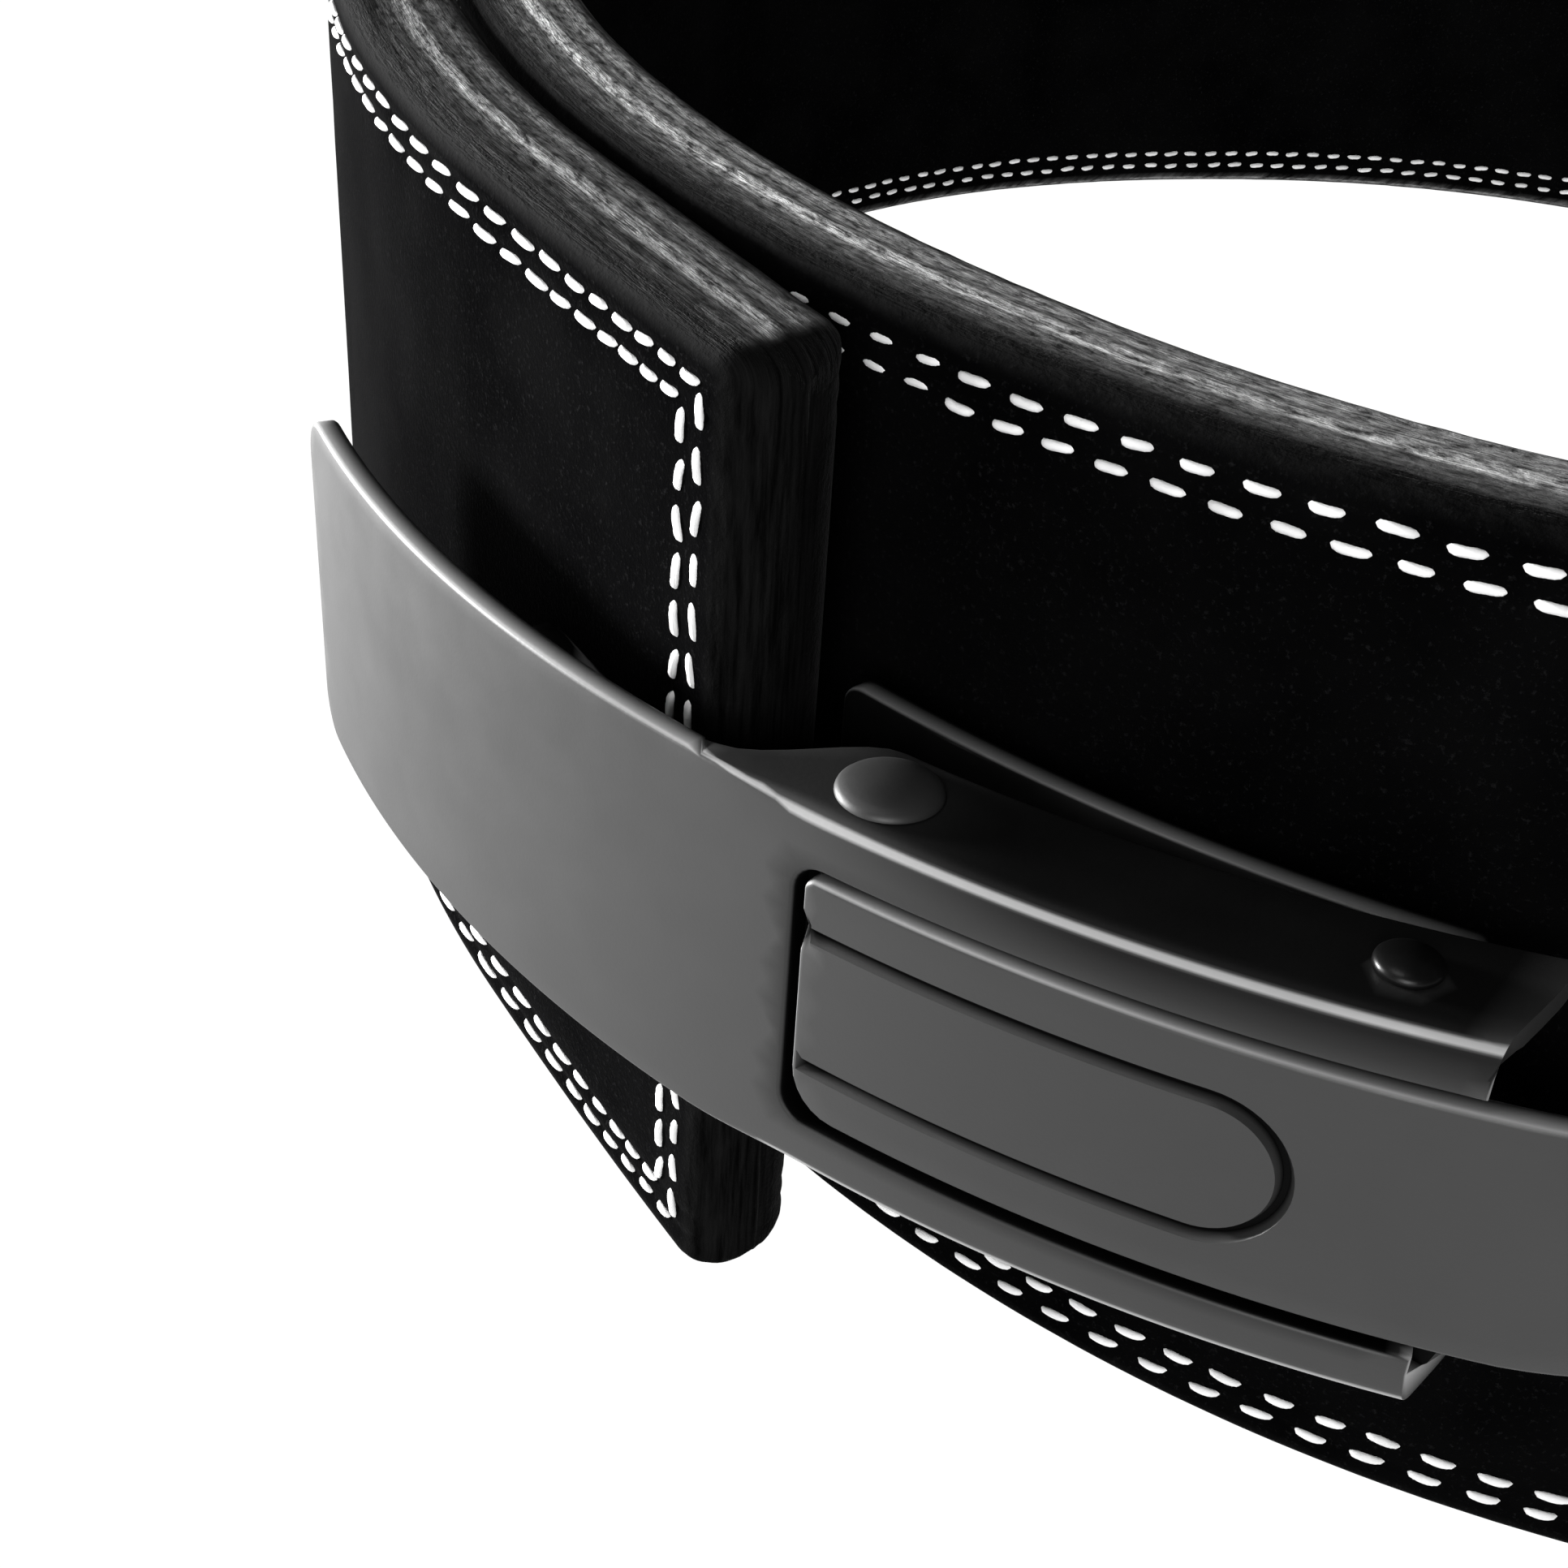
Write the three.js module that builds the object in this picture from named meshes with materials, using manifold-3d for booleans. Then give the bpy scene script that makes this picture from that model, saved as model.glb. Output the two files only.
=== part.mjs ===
// Lever belt for weightlifting, fastened, standing on its lower edge.
// Millimetres, +Z up. The buckle faces -Y, and the origin is under the middle of the whole belt.
import * as THREE from 'three';
import { mergeVertices } from 'three/addons/utils/BufferGeometryUtils.js';
import Module from 'manifold-3d';

const wasm = await Module();
wasm.setup();

// Driving dimensions of the strap
const waistLong = 357.4;            // clear inside the loop, along its long axis
const waistShort = 313.2;           // clear inside the loop, across the long axis
const loopSquareness = 2.2;         // exponent of the loop's rounded oval, 2 is a plain ellipse
const loopTurn = -34.6;             // degrees from X to the long axis
const beltWidth = 100;
const strapThickness = 13.3;        // suede, leather core and suede, sewn together
const edgeRound = 3;                // burnished shoulders of the strap's long edges
const endRound = 4.6;               // how far the two cut ends are domed over the thickness
const endFacets = 8;
const strapStep = 11;               // facet length along the loop
const layerGap = 0.6;               // air between the two layers where they overlap
const buckleEndAt = -0.6;           // tip of the strap's outer end, along the inner face from the front
const endLift = 4.2;                // how far the outer end springs away where its dome begins
const endLiftLength = 39;
const stepDownLength = 110;         // stretch in which the outer layer comes in behind the inner end

// Driving dimensions of the holes for the prongs
const holePitch = 25.4;
const holePairs = 10;
const engagedPair = 8;              // pairs left free between the inner end and the prongs
const holeRowGap = 17.8;            // between the upper and the lower row
const holeDiameter = 7;
const holeMargin = 38;              // from the inner end to its first pair
const prongAt = 104;                // the engaged pair, along the inner face from the front
const prongClearance = 0.5;
const prongShort = 1.5;             // the prongs stop this far short of the inner face

// Driving dimensions of the lever, whose face is a round arc seen from above
const leverRadius = 156;
const leverShift = -9.9;            // the arc's front point, left of the belt's front point
const leverHeight = 38;
const leverReach = 78.4;            // from the arc's front point to the ends of the two arms
const leverLength = 141.6;
const leverCorner = 5;              // rounding of the free end
const sheet = 2.4;                  // steel sheet of the lever, the link and the mount
const leverClearance = 2.35;        // between the mount on the outer end and the lever
const windowLength = 56.2;
const windowHeight = 26.8;
const windowCorner = 2.6;
const flangeDepth = 12;
const flangeRamp = 13;              // stretch in which the flange grows to its full depth
const flangeStart = 11;             // from the window's closed end back to the flange's start
const flangeLean = 0.49;            // how far the flanges run on past the arms, as a share of their depth
const pinDepth = 6;                 // from the lever's face to both pin axes
const pivotInset = 7.6;             // from the arm ends to the pivot
const linkPinInset = 4.6;           // from the window's closed end to the link pin
const pinDiameter = 3.8;
const pinHeadDiameter = 5.4;
const linkPinHeadDiameter = 9;
const pinHeadHeight = 1.5;
const pinClearance = 0.3;
const lugRadius = 3.3;

// Driving dimensions of the link plate, which lies in the window and carries the prongs
const linkGap = 1.2;                // between the window's long edges and the link
const linkEndGap = 0.9;
const linkCorner = 4.5;
const tongueLength = 42.9;
const tongueHeight = 13.9;
const grooveWidth = 0.9;
const grooveDepth = 0.9;
const linkRun = 6;                  // the link stays on the arc this far past the arms
const linkPastProngs = 9;
const linkFlat = 12;                // the link lies flat on the strap this far ahead of the prongs
const crankEase = 0.45;             // share of the crank's length over which it bends at each end
const crankFacets = 8;

// Driving dimensions of the mount, screwed to the outer end of the strap
const mountHeight = 22;             // low enough to hide behind the lever
const mountLength = 27;             // of the seat on the strap, up to where the outer end's dome begins
const padHeight = 35;               // taller part in front of the outer end, it carries the pivot
const padRise = 3.8;                // from the inner layer's face to the pad
const padPastPivot = 3.6;
const seatGap = 0.3;                // between touching pieces
const screwInset = 12.5;            // from the tip of the strap's outer end
const screwPitch = 13;
const screwRowGap = 12;
const screwHeadDiameter = 8.5;
const screwHeadHeight = 1.5;
const screwDiameter = 4;
const screwDepth = 9;               // how far the shank goes into the leather
const roundFacets = 16;
const arcStep = 5;                  // facet length along the lever's arc
const overcut = 1;                  // how far a cutting tool reaches past what it cuts

const midHeight = beltWidth / 2;
const strapPitch = strapThickness + layerGap;
const mountSeat = strapPitch + strapThickness + seatGap;

const leather = new THREE.MeshStandardMaterial({ color: 0x131314, roughness: 0.95, metalness: 0 });
const greySteel = new THREE.MeshStandardMaterial({ color: 0x4c4c4e, roughness: 0.4, metalness: 0.3 });
const blackSteel = new THREE.MeshStandardMaterial({ color: 0x141415, roughness: 0.4, metalness: 0.3 });

// The loop's inner face, sampled once round from its front point, anticlockwise seen from above
function traceLoop() {
  const samples = 1440;
  const turn = THREE.MathUtils.degToRad(loopTurn);
  const points = [];
  for (let i = 0; i < samples; i += 1) {
    const angle = (i / samples) * 2 * Math.PI;
    const along = Math.abs(Math.cos(angle) / (waistLong / 2)) ** loopSquareness;
    const across = Math.abs(Math.sin(angle) / (waistShort / 2)) ** loopSquareness;
    const radius = (along + across) ** (-1 / loopSquareness);
    points.push(new THREE.Vector2(radius * Math.cos(angle + turn), radius * Math.sin(angle + turn)));
  }
  const front = points.reduce((best, p, i) => (p.y < points[best].y ? i : best), 0);
  const ordered = [...points.slice(front), ...points.slice(0, front), points[front].clone()];
  let length = 0;
  return ordered.map((point, i) => {
    const before = ordered[i === 0 ? samples - 1 : i - 1];
    const after = ordered[i === samples ? 1 : i + 1];
    if (i > 0) length += point.distanceTo(before);
    const tangent = after.clone().sub(before).normalize();
    return { point, length, normal: new THREE.Vector2(tangent.y, -tangent.x) };
  });
}

const loop = traceLoop();
const loopLength = loop[loop.length - 1].length;
const frontPoint = loop[0].point;

// Point at a length along the inner face and an offset outwards from it
function onBelt(along, offset) {
  const wrapped = ((along % loopLength) + loopLength) % loopLength;
  let low = 0;
  let high = loop.length - 1;
  while (high - low > 1) {
    const middle = (low + high) >> 1;
    if (loop[middle].length <= wrapped) low = middle;
    else high = middle;
  }
  const share = (wrapped - loop[low].length) / (loop[high].length - loop[low].length);
  const point = loop[low].point.clone().lerp(loop[high].point, share);
  const normal = loop[low].normal.clone().lerp(loop[high].normal, share).normalize();
  return point.addScaledVector(normal, offset);
}

// Length along the inner face at which a point lies
function alongBelt(point) {
  const gaps = loop.map((sample) => sample.point.distanceTo(point));
  const nearest = loop[gaps.indexOf(Math.min(...gaps))].length;
  return nearest > loopLength / 2 ? nearest - loopLength : nearest;
}

const outwards = (along) => onBelt(along, 1).sub(onBelt(along, 0));

const leverFace = mountSeat + endLift + sheet + leverClearance + sheet;
const leverCentre = frontPoint.clone().add(new THREE.Vector2(leverShift, leverRadius - leverFace));

// Direction and point on the lever's arc, at a length from its front point and a depth below its face
function leverNormal(length) {
  const angle = length / leverRadius - Math.PI / 2;
  return new THREE.Vector2(Math.cos(angle), Math.sin(angle));
}

function onLever(length, depth) {
  return leverCentre.clone().addScaledVector(leverNormal(length), leverRadius - depth);
}

const spaced = (from, to, step) => {
  const count = Math.max(1, Math.ceil((to - from) / step));
  return Array.from({ length: count + 1 }, (_, i) => from + ((to - from) * i) / count);
};

// A closed outline seen from above becomes a solid between two heights
function upright(outline, bottom, top, round = 0) {
  const geometry = new THREE.ExtrudeGeometry(new THREE.Shape(outline), {
    depth: top - bottom - 2 * round,
    bevelEnabled: round > 0,
    bevelThickness: round,
    bevelSize: round,
    bevelOffset: -round,
    bevelSegments: 2,
    steps: 1,
  });
  return geometry.translate(0, 0, bottom + round);
}

function solidOf(geometry) {
  const bare = geometry.clone();
  bare.deleteAttribute('normal');
  bare.deleteAttribute('uv');
  const merged = mergeVertices(bare, 1e-4);
  return new wasm.Manifold(new wasm.Mesh({
    numProp: 3,
    vertProperties: Float32Array.from(merged.attributes.position.array),
    triVerts: Uint32Array.from(merged.index.array),
  }));
}

function geometryOf(solid) {
  const mesh = solid.getMesh();
  const geometry = new THREE.BufferGeometry();
  geometry.setAttribute('position', new THREE.BufferAttribute(mesh.vertProperties, 3));
  geometry.setIndex(new THREE.BufferAttribute(mesh.triVerts, 1));
  geometry.computeVertexNormals();
  return geometry;
}

const joined = (solids) => solids.reduce((sum, solid) => sum.add(solid));
const around = (offset) => [midHeight + offset, midHeight - offset];

// A band along the lever's arc, between two depths and two heights
function leverBand(from, to, outerDepth, innerDepth, bottom, top) {
  const lengths = spaced(from, to, arcStep);
  const outer = lengths.map((length) => onLever(length, outerDepth));
  const inner = lengths.map((length) => onLever(length, innerDepth)).reverse();
  return solidOf(upright([...outer, ...inner], bottom, top));
}

// A flat shape, in lengths along the belt and heights from its middle, pushed out along one direction
function outwardPrism(shape, origin, normal, below, above) {
  const geometry = new THREE.ExtrudeGeometry(shape, {
    depth: below + above, bevelEnabled: false, curveSegments: 6,
  });
  const tangent = new THREE.Vector3(-normal.y, normal.x, 0);
  const outward = new THREE.Vector3(normal.x, normal.y, 0);
  geometry.translate(0, 0, -below);
  geometry.applyMatrix4(new THREE.Matrix4().makeBasis(tangent, new THREE.Vector3(0, 0, 1), outward));
  return solidOf(geometry.translate(origin.x, origin.y, midHeight));
}

function roundedBox(left, right, halfHeight, corner) {
  const shape = new THREE.Shape();
  shape.moveTo(right, halfHeight);
  shape.lineTo(left + corner, halfHeight);
  shape.absarc(left + corner, halfHeight - corner, corner, Math.PI / 2, Math.PI, false);
  shape.lineTo(left, corner - halfHeight);
  shape.absarc(left + corner, corner - halfHeight, corner, Math.PI, 1.5 * Math.PI, false);
  shape.lineTo(right, -halfHeight);
  return shape;
}

// Takes the square corner off a plate on the lever's arc, on its left end, above or below the middle
function cornerCut(length, halfHeight, side, radius) {
  const edge = side * halfHeight;
  const shape = new THREE.Shape();
  shape.moveTo(-overcut, edge + side * overcut);
  shape.lineTo(radius, edge + side * overcut);
  shape.lineTo(radius, edge);
  spaced(0, Math.PI / 2, Math.PI / 12).slice(1).forEach((angle) => shape.lineTo(
    radius * (1 - Math.sin(angle)), edge - side * radius * (1 - Math.cos(angle))));
  shape.lineTo(-overcut, edge - side * radius);
  return outwardPrism(shape, onLever(length, 0), leverNormal(length), sheet + overcut, overcut);
}

function uprightCylinder(centre, radius, bottom, top) {
  const geometry = new THREE.CylinderGeometry(radius, radius, top - bottom, roundFacets);
  geometry.rotateX(Math.PI / 2);
  return solidOf(geometry.translate(centre.x, centre.y, (top + bottom) / 2));
}

// A round rod along a direction seen from above, reaching below and above its foot
function rod(foot, normal, height, radius, below, above) {
  const geometry = new THREE.CylinderGeometry(radius, radius, below + above, roundFacets);
  geometry.rotateZ(Math.atan2(normal.y, normal.x) - Math.PI / 2);
  const middle = foot.clone().addScaledVector(normal, (above - below) / 2);
  return solidOf(geometry.translate(middle.x, middle.y, height));
}

// An eye round an upright pin, with a stem that runs to a point on the plate that carries it
function lug(eye, root, bottom, top) {
  const side = root.clone().sub(eye).normalize().multiplyScalar(lugRadius);
  const across = new THREE.Vector2(-side.y, side.x);
  const outline = [
    eye.clone().add(across), root.clone().add(across), root.clone().sub(across), eye.clone().sub(across),
  ];
  return uprightCylinder(eye, lugRadius, bottom, top).add(solidOf(upright(outline, bottom, top)));
}

// Places along the belt that several pieces share
const innerEndAt = prongAt - engagedPair * holePitch - holeMargin;
const outerEndAlong = loopLength + buckleEndAt;
const windowEnd = leverReach - windowLength;
const pivot = onLever(leverReach - pivotInset, pinDepth);
const linkPin = onLever(windowEnd + linkPinInset, pinDepth);
const pivotAlong = alongBelt(pivot);
const pinHole = pinDiameter / 2 + pinClearance;
const linkHalf = windowHeight / 2 - linkGap;
const flangeInside = leverHeight / 2 - sheet;

// Offset of the strap's inner face from the loop, from the inner end once round to the outer end
function strapOffset(along) {
  const coveredFrom = loopLength + innerEndAt - 2 * layerGap;
  const rise = THREE.MathUtils.smoothstep(along, coveredFrom - stepDownLength, coveredFrom);
  const domeFrom = outerEndAlong - endRound;
  const lift = Math.max(0, (along - domeFrom + endLiftLength) / endLiftLength);
  return strapPitch * rise + endLift * lift ** 2;
}

const seatEnd = buckleEndAt - endRound;
const screwPlaces = [0, 1].flatMap((column) => around(screwRowGap / 2).map((height) => ({
  along: buckleEndAt - screwInset - column * screwPitch, height,
})));
const strapHalf = strapThickness / 2;

// Point of the strap at a length along the loop, and an offset from the middle of its thickness
const onStrap = (along, offset) => onBelt(along, strapOffset(along) + strapHalf + offset);
const onFace = (along) => onStrap(loopLength + along, strapHalf);

// Direction square to the outer layer's face, which leans where the outer end lifts
function faceNormal(along) {
  const tangent = onFace(along + 1).sub(onFace(along - 1)).normalize();
  return new THREE.Vector2(tangent.y, -tangent.x);
}

const screwHole = ({ along, height }, below, above) => (
  rod(onFace(along), faceNormal(along), height, screwDiameter / 2 + seatGap, below, above));

// Half an oval round a cut end of the strap, seen from above, from one face to the other
function dome(tip, way) {
  return spaced(0, Math.PI, Math.PI / endFacets).slice(1, -1).map((angle) => (
    onStrap(tip - way * endRound * (1 - Math.sin(angle)), way * strapHalf * Math.cos(angle))));
}

function strap() {
  const places = spaced(innerEndAt + endRound, outerEndAlong - endRound, strapStep);
  const outer = places.map((along) => onStrap(along, strapHalf));
  const inner = places.map((along) => onStrap(along, -strapHalf));
  const outline = [...outer, ...dome(outerEndAlong, 1), ...inner.reverse(), ...dome(innerEndAt, -1)];
  const body = solidOf(upright(outline, 0, beltWidth, edgeRound));
  const pairs = Array.from({ length: holePairs }, (_, i) => innerEndAt + holeMargin + i * holePitch);
  const holes = pairs.flatMap((along) => around(holeRowGap / 2).map((height) => (
    rod(onBelt(along, 0), outwards(along), height, holeDiameter / 2, overcut,
      strapThickness + layerGap / 2))));
  const screwHoles = screwPlaces.map((place) => screwHole(place, screwDepth + overcut, overcut));
  return geometryOf(body.subtract(joined([...holes, ...screwHoles])));
}

function lever() {
  const freeEnd = leverReach - leverLength;
  const [top, bottom] = around(leverHeight / 2);
  const plate = leverBand(freeEnd, leverReach, 0, sheet, bottom, top);
  const flangeFrom = windowEnd - flangeStart;
  const flangeTo = leverReach + flangeLean * flangeDepth;
  const outer = spaced(flangeFrom, leverReach, arcStep).map((length) => onLever(length, 0));
  const inner = spaced(flangeFrom, flangeTo, arcStep).map((length) => {
    const grown = THREE.MathUtils.smoothstep(length, flangeFrom, flangeFrom + flangeRamp);
    return onLever(length, sheet + (flangeDepth - sheet) * grown);
  });
  const outline = [...outer, ...inner.reverse()];
  const flanges = [
    solidOf(upright(outline, top - sheet, top)),
    solidOf(upright(outline, bottom, bottom + sheet)),
  ];
  const middle = (windowEnd + leverReach) / 2;
  const windowLeft = -leverRadius * Math.sin((middle - windowEnd) / leverRadius);
  const windowShape = roundedBox(windowLeft, windowLength, windowHeight / 2, windowCorner);
  const windowCut = outwardPrism(windowShape, onLever(middle, 0), leverNormal(middle), flangeDepth, sheet);
  const cornerCuts = [1, -1].map((side) => cornerCut(freeEnd, leverHeight / 2, side, leverCorner));
  const pinCuts = [pivot, linkPin].map((pin) => (
    uprightCylinder(pin, pinHole, bottom - overcut, top + overcut)));
  return geometryOf(joined([plate, ...flanges]).subtract(joined([windowCut, ...cornerCuts, ...pinCuts])));
}

// Outline of a sheet whose outer face follows the given points
function sheetOutline(points) {
  const inner = points.map((point, i) => {
    const before = points[Math.max(0, i - 1)];
    const after = points[Math.min(points.length - 1, i + 1)];
    const tangent = after.clone().sub(before).normalize();
    return point.clone().addScaledVector(new THREE.Vector2(-tangent.y, tangent.x), sheet);
  });
  return [...points, ...inner.reverse()];
}

function link() {
  const start = windowEnd + linkEndGap;
  const arcEnd = leverReach + linkRun;
  const seat = strapThickness + seatGap + sheet;
  const flatFrom = prongAt - linkFlat;
  const from = onLever(arcEnd, 0);
  const to = onBelt(flatFrom, seat);
  const ease = from.distanceTo(to) * crankEase;
  const leaving = from.clone().add(onLever(arcEnd + ease, 0).sub(from));
  const landing = to.clone().sub(onBelt(flatFrom + ease, seat).sub(to));
  const crank = new THREE.CubicBezierCurve(from, leaving, landing, to).getPoints(crankFacets);
  const outerFace = [
    ...spaced(start, arcEnd, arcStep).map((length) => onLever(length, 0)),
    ...crank.slice(1),
    ...spaced(flatFrom, prongAt + linkPastProngs, arcStep).slice(1).map((along) => onBelt(along, seat)),
  ];
  const [top, bottom] = around(linkHalf);
  const plate = solidOf(upright(sheetOutline(outerFace), bottom, top));
  const lugRoot = onLever(windowEnd + linkPinInset, sheet / 2);
  const lugs = [
    lug(linkPin, lugRoot, top - sheet, top),
    lug(linkPin, lugRoot, bottom, bottom + sheet),
  ];
  const prongs = around(holeRowGap / 2).map((height) => (
    rod(onBelt(prongAt, 0), outwards(prongAt), height, holeDiameter / 2 - prongClearance,
      -prongShort, seat - sheet / 2)));
  const middle = start + tongueLength / 2;
  const along = (length) => leverRadius * Math.sin((length - middle) / leverRadius);
  const stadium = (grow) => {
    const half = tongueHeight / 2 + grow;
    const shape = new THREE.Shape();
    const right = along(start + tongueLength) + grow - half;
    shape.moveTo(along(start) - 2 * overcut + grow, -half);
    shape.lineTo(right, -half);
    shape.absarc(right, 0, half, -Math.PI / 2, Math.PI / 2, false);
    shape.lineTo(along(start) - 2 * overcut + grow, half);
    return outwardPrism(shape, onLever(middle, 0), leverNormal(middle), 4 * sheet, sheet);
  };
  const ring = stadium(grooveWidth / 2).subtract(stadium(-grooveWidth / 2));
  const skinEnd = start + tongueLength + 2 * overcut;
  const skin = leverBand(start - overcut, skinEnd, -overcut, grooveDepth, bottom, top);
  const endCut = cornerCut(start, linkHalf, -1, linkCorner);
  const pinCut = uprightCylinder(linkPin, pinHole, bottom - overcut, top + overcut);
  const cuts = joined([ring.intersect(skin), endCut, pinCut]);
  return geometryOf(joined([plate, ...lugs, ...prongs]).subtract(cuts));
}

function mount() {
  const padFace = strapThickness + padRise + sheet;
  const tip = onStrap(outerEndAlong, 0);
  const out = onStrap(outerEndAlong, 1).sub(tip);
  const ahead = new THREE.Vector2(-out.y, out.x);
  const webPoint = (height, gap) => tip.clone().addScaledVector(out, height).addScaledVector(ahead, gap);
  const under = strapHalf + seatGap;
  const foot = strapOffset(outerEndAlong) - strapHalf - padRise;
  const [top, bottom] = around(mountHeight / 2);
  const places = spaced(seatEnd - mountLength, seatEnd, arcStep).map((along) => loopLength + along);
  const seat = solidOf(upright([
    ...places.map((along) => onStrap(along, under + sheet)),
    webPoint(under + sheet, seatGap + sheet),
    webPoint(under, seatGap + sheet),
    ...places.map((along) => onStrap(along, under)).reverse(),
  ], bottom, top));
  const web = solidOf(upright([
    webPoint(under + sheet, seatGap + sheet),
    webPoint(-foot, seatGap + sheet),
    webPoint(-foot, seatGap),
    webPoint(under + sheet, seatGap),
  ], bottom, top));
  const padFrom = alongBelt(webPoint(-foot, seatGap + sheet / 2));
  const padLengths = spaced(padFrom, pivotAlong + padPastPivot, arcStep);
  const pad = solidOf(upright([
    ...padLengths.map((along) => onBelt(along, padFace)),
    ...padLengths.map((along) => onBelt(along, padFace - sheet)).reverse(),
  ], ...around(padHeight / 2).reverse()));
  const lugTop = flangeInside - pinClearance;
  const lugRoot = onBelt(pivotAlong, padFace - sheet / 2);
  const lugs = [
    lug(pivot, lugRoot, midHeight + lugTop - sheet, midHeight + lugTop),
    lug(pivot, lugRoot, midHeight - lugTop, midHeight - lugTop + sheet),
  ];
  const screwCuts = screwPlaces.map((place) => screwHole(place, overcut, 2 * sheet));
  const pinCut = uprightCylinder(pivot, pinHole, 0, beltWidth);
  return geometryOf(joined([seat, web, pad, ...lugs]).subtract(joined([...screwCuts, pinCut])));
}

// A pin with a low head at each end, outside the lever's flanges
function pin(centre, headDiameter) {
  const half = leverHeight / 2 + seatGap;
  const shank = pinDiameter / 2;
  const head = headDiameter / 2;
  const profile = [
    new THREE.Vector2(0, -half - pinHeadHeight),
    new THREE.Vector2(head * 0.75, -half - pinHeadHeight),
    new THREE.Vector2(head, -half - pinHeadHeight * 0.6),
    new THREE.Vector2(head, -half),
    new THREE.Vector2(shank, -half),
    new THREE.Vector2(shank, half),
    new THREE.Vector2(head, half),
    new THREE.Vector2(head, half + pinHeadHeight * 0.6),
    new THREE.Vector2(head * 0.75, half + pinHeadHeight),
    new THREE.Vector2(0, half + pinHeadHeight),
  ];
  const geometry = new THREE.LatheGeometry(profile, roundFacets).rotateX(Math.PI / 2);
  return geometryOf(solidOf(geometry.translate(centre.x, centre.y, midHeight)));
}

function screw({ along, height }) {
  const head = screwHeadDiameter / 2;
  const shank = screwDiameter / 2;
  const profile = [
    new THREE.Vector2(0, -screwDepth - sheet - 2 * seatGap),
    new THREE.Vector2(shank, -screwDepth - sheet - 2 * seatGap),
    new THREE.Vector2(shank, 0),
    new THREE.Vector2(head, 0),
    new THREE.Vector2(head, screwHeadHeight * 0.5),
    new THREE.Vector2(head * 0.8, screwHeadHeight),
    new THREE.Vector2(0, screwHeadHeight),
  ];
  const normal = faceNormal(along);
  const seat = onFace(along).addScaledVector(normal, sheet + 2 * seatGap);
  const geometry = new THREE.LatheGeometry(profile, roundFacets);
  geometry.rotateZ(Math.atan2(normal.y, normal.x) - Math.PI / 2);
  return geometryOf(solidOf(geometry.translate(seat.x, seat.y, height)));
}

const assembly = new THREE.Group();

function addPiece(name, geometry, material) {
  const mesh = new THREE.Mesh(geometry, material);
  mesh.name = name;
  assembly.add(mesh);
}

addPiece('belt_strap', strap(), leather);
addPiece('lever_handle', lever(), greySteel);
addPiece('link_plate', link(), greySteel);
addPiece('mount_plate', mount(), blackSteel);
addPiece('pivot_pin', pin(pivot, pinHeadDiameter), blackSteel);
addPiece('link_pin', pin(linkPin, linkPinHeadDiameter), greySteel);
screwPlaces.forEach((place, i) => addPiece(`mount_screw_${i + 1}`, screw(place), greySteel));

// The origin goes under the middle of the whole belt
const reach = new THREE.Box3().setFromObject(assembly, true);
const middle = reach.getCenter(new THREE.Vector3());
assembly.position.set(-middle.x, -middle.y, -reach.min.z);

export default assembly;
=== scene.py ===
# A lever belt for weightlifting, fastened: a thick suede strap, white stitching and a steel lever buckle.
# Lengths are millimetres, and become metres when a mesh is made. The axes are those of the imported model.
import bisect
import math
import random

import bmesh
import bpy
from mathutils import Matrix, Vector, noise
from mathutils.geometry import delaunay_2d_cdt


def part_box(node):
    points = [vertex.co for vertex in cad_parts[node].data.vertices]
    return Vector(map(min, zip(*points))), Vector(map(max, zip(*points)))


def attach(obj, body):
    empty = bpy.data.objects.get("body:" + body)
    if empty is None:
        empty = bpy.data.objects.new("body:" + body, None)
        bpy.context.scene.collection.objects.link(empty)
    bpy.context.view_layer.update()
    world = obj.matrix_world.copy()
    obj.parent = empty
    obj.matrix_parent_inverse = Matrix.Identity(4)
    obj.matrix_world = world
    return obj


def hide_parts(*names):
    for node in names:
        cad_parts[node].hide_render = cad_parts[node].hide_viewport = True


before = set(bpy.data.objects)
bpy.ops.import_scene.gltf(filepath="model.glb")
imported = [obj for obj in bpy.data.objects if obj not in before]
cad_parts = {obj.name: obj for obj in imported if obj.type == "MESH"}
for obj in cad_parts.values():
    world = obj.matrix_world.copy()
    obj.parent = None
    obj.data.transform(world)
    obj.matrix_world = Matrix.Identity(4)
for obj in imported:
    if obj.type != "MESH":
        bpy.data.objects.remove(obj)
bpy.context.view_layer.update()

MM = 0.001

# The strap
waist_long = 357.4
waist_short = 313.2
loop_squareness = 2.2
loop_turn = -34.6
belt_width = 100.0
strap_thickness = 13.3
layer_gap = 0.6
buckle_end_at = -0.6
end_round = 4.6                # how far the two cut ends are domed over the thickness
end_lift = 4.2
end_lift_length = 39.0
step_down_length = 110.0
strap_step = 1.9
shoulder = 2.6                 # rounding of the burnished edges
end_shoulder = 2.6             # how much lower the tip of a cut end is than its edges
edge_step = 0.55               # mesh width across the cut edges
# Where the layers meet on the cut edges, and how wide that is, as shares of the thickness
ridge_at = 0.46
ridge_width = 0.05
ridge_rise = 0.35
valley_at = 0.09
valley_width = 0.035
valley_depth = 0.4

# The prong holes
hole_pitch = 25.4
hole_pairs = 10
engaged_pair = 8
hole_row_gap = 17.8
hole_diameter = 7.0
hole_margin = 38.0
prong_at = 104.0
prong_clearance = 0.5
prong_short = 1.5

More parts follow.
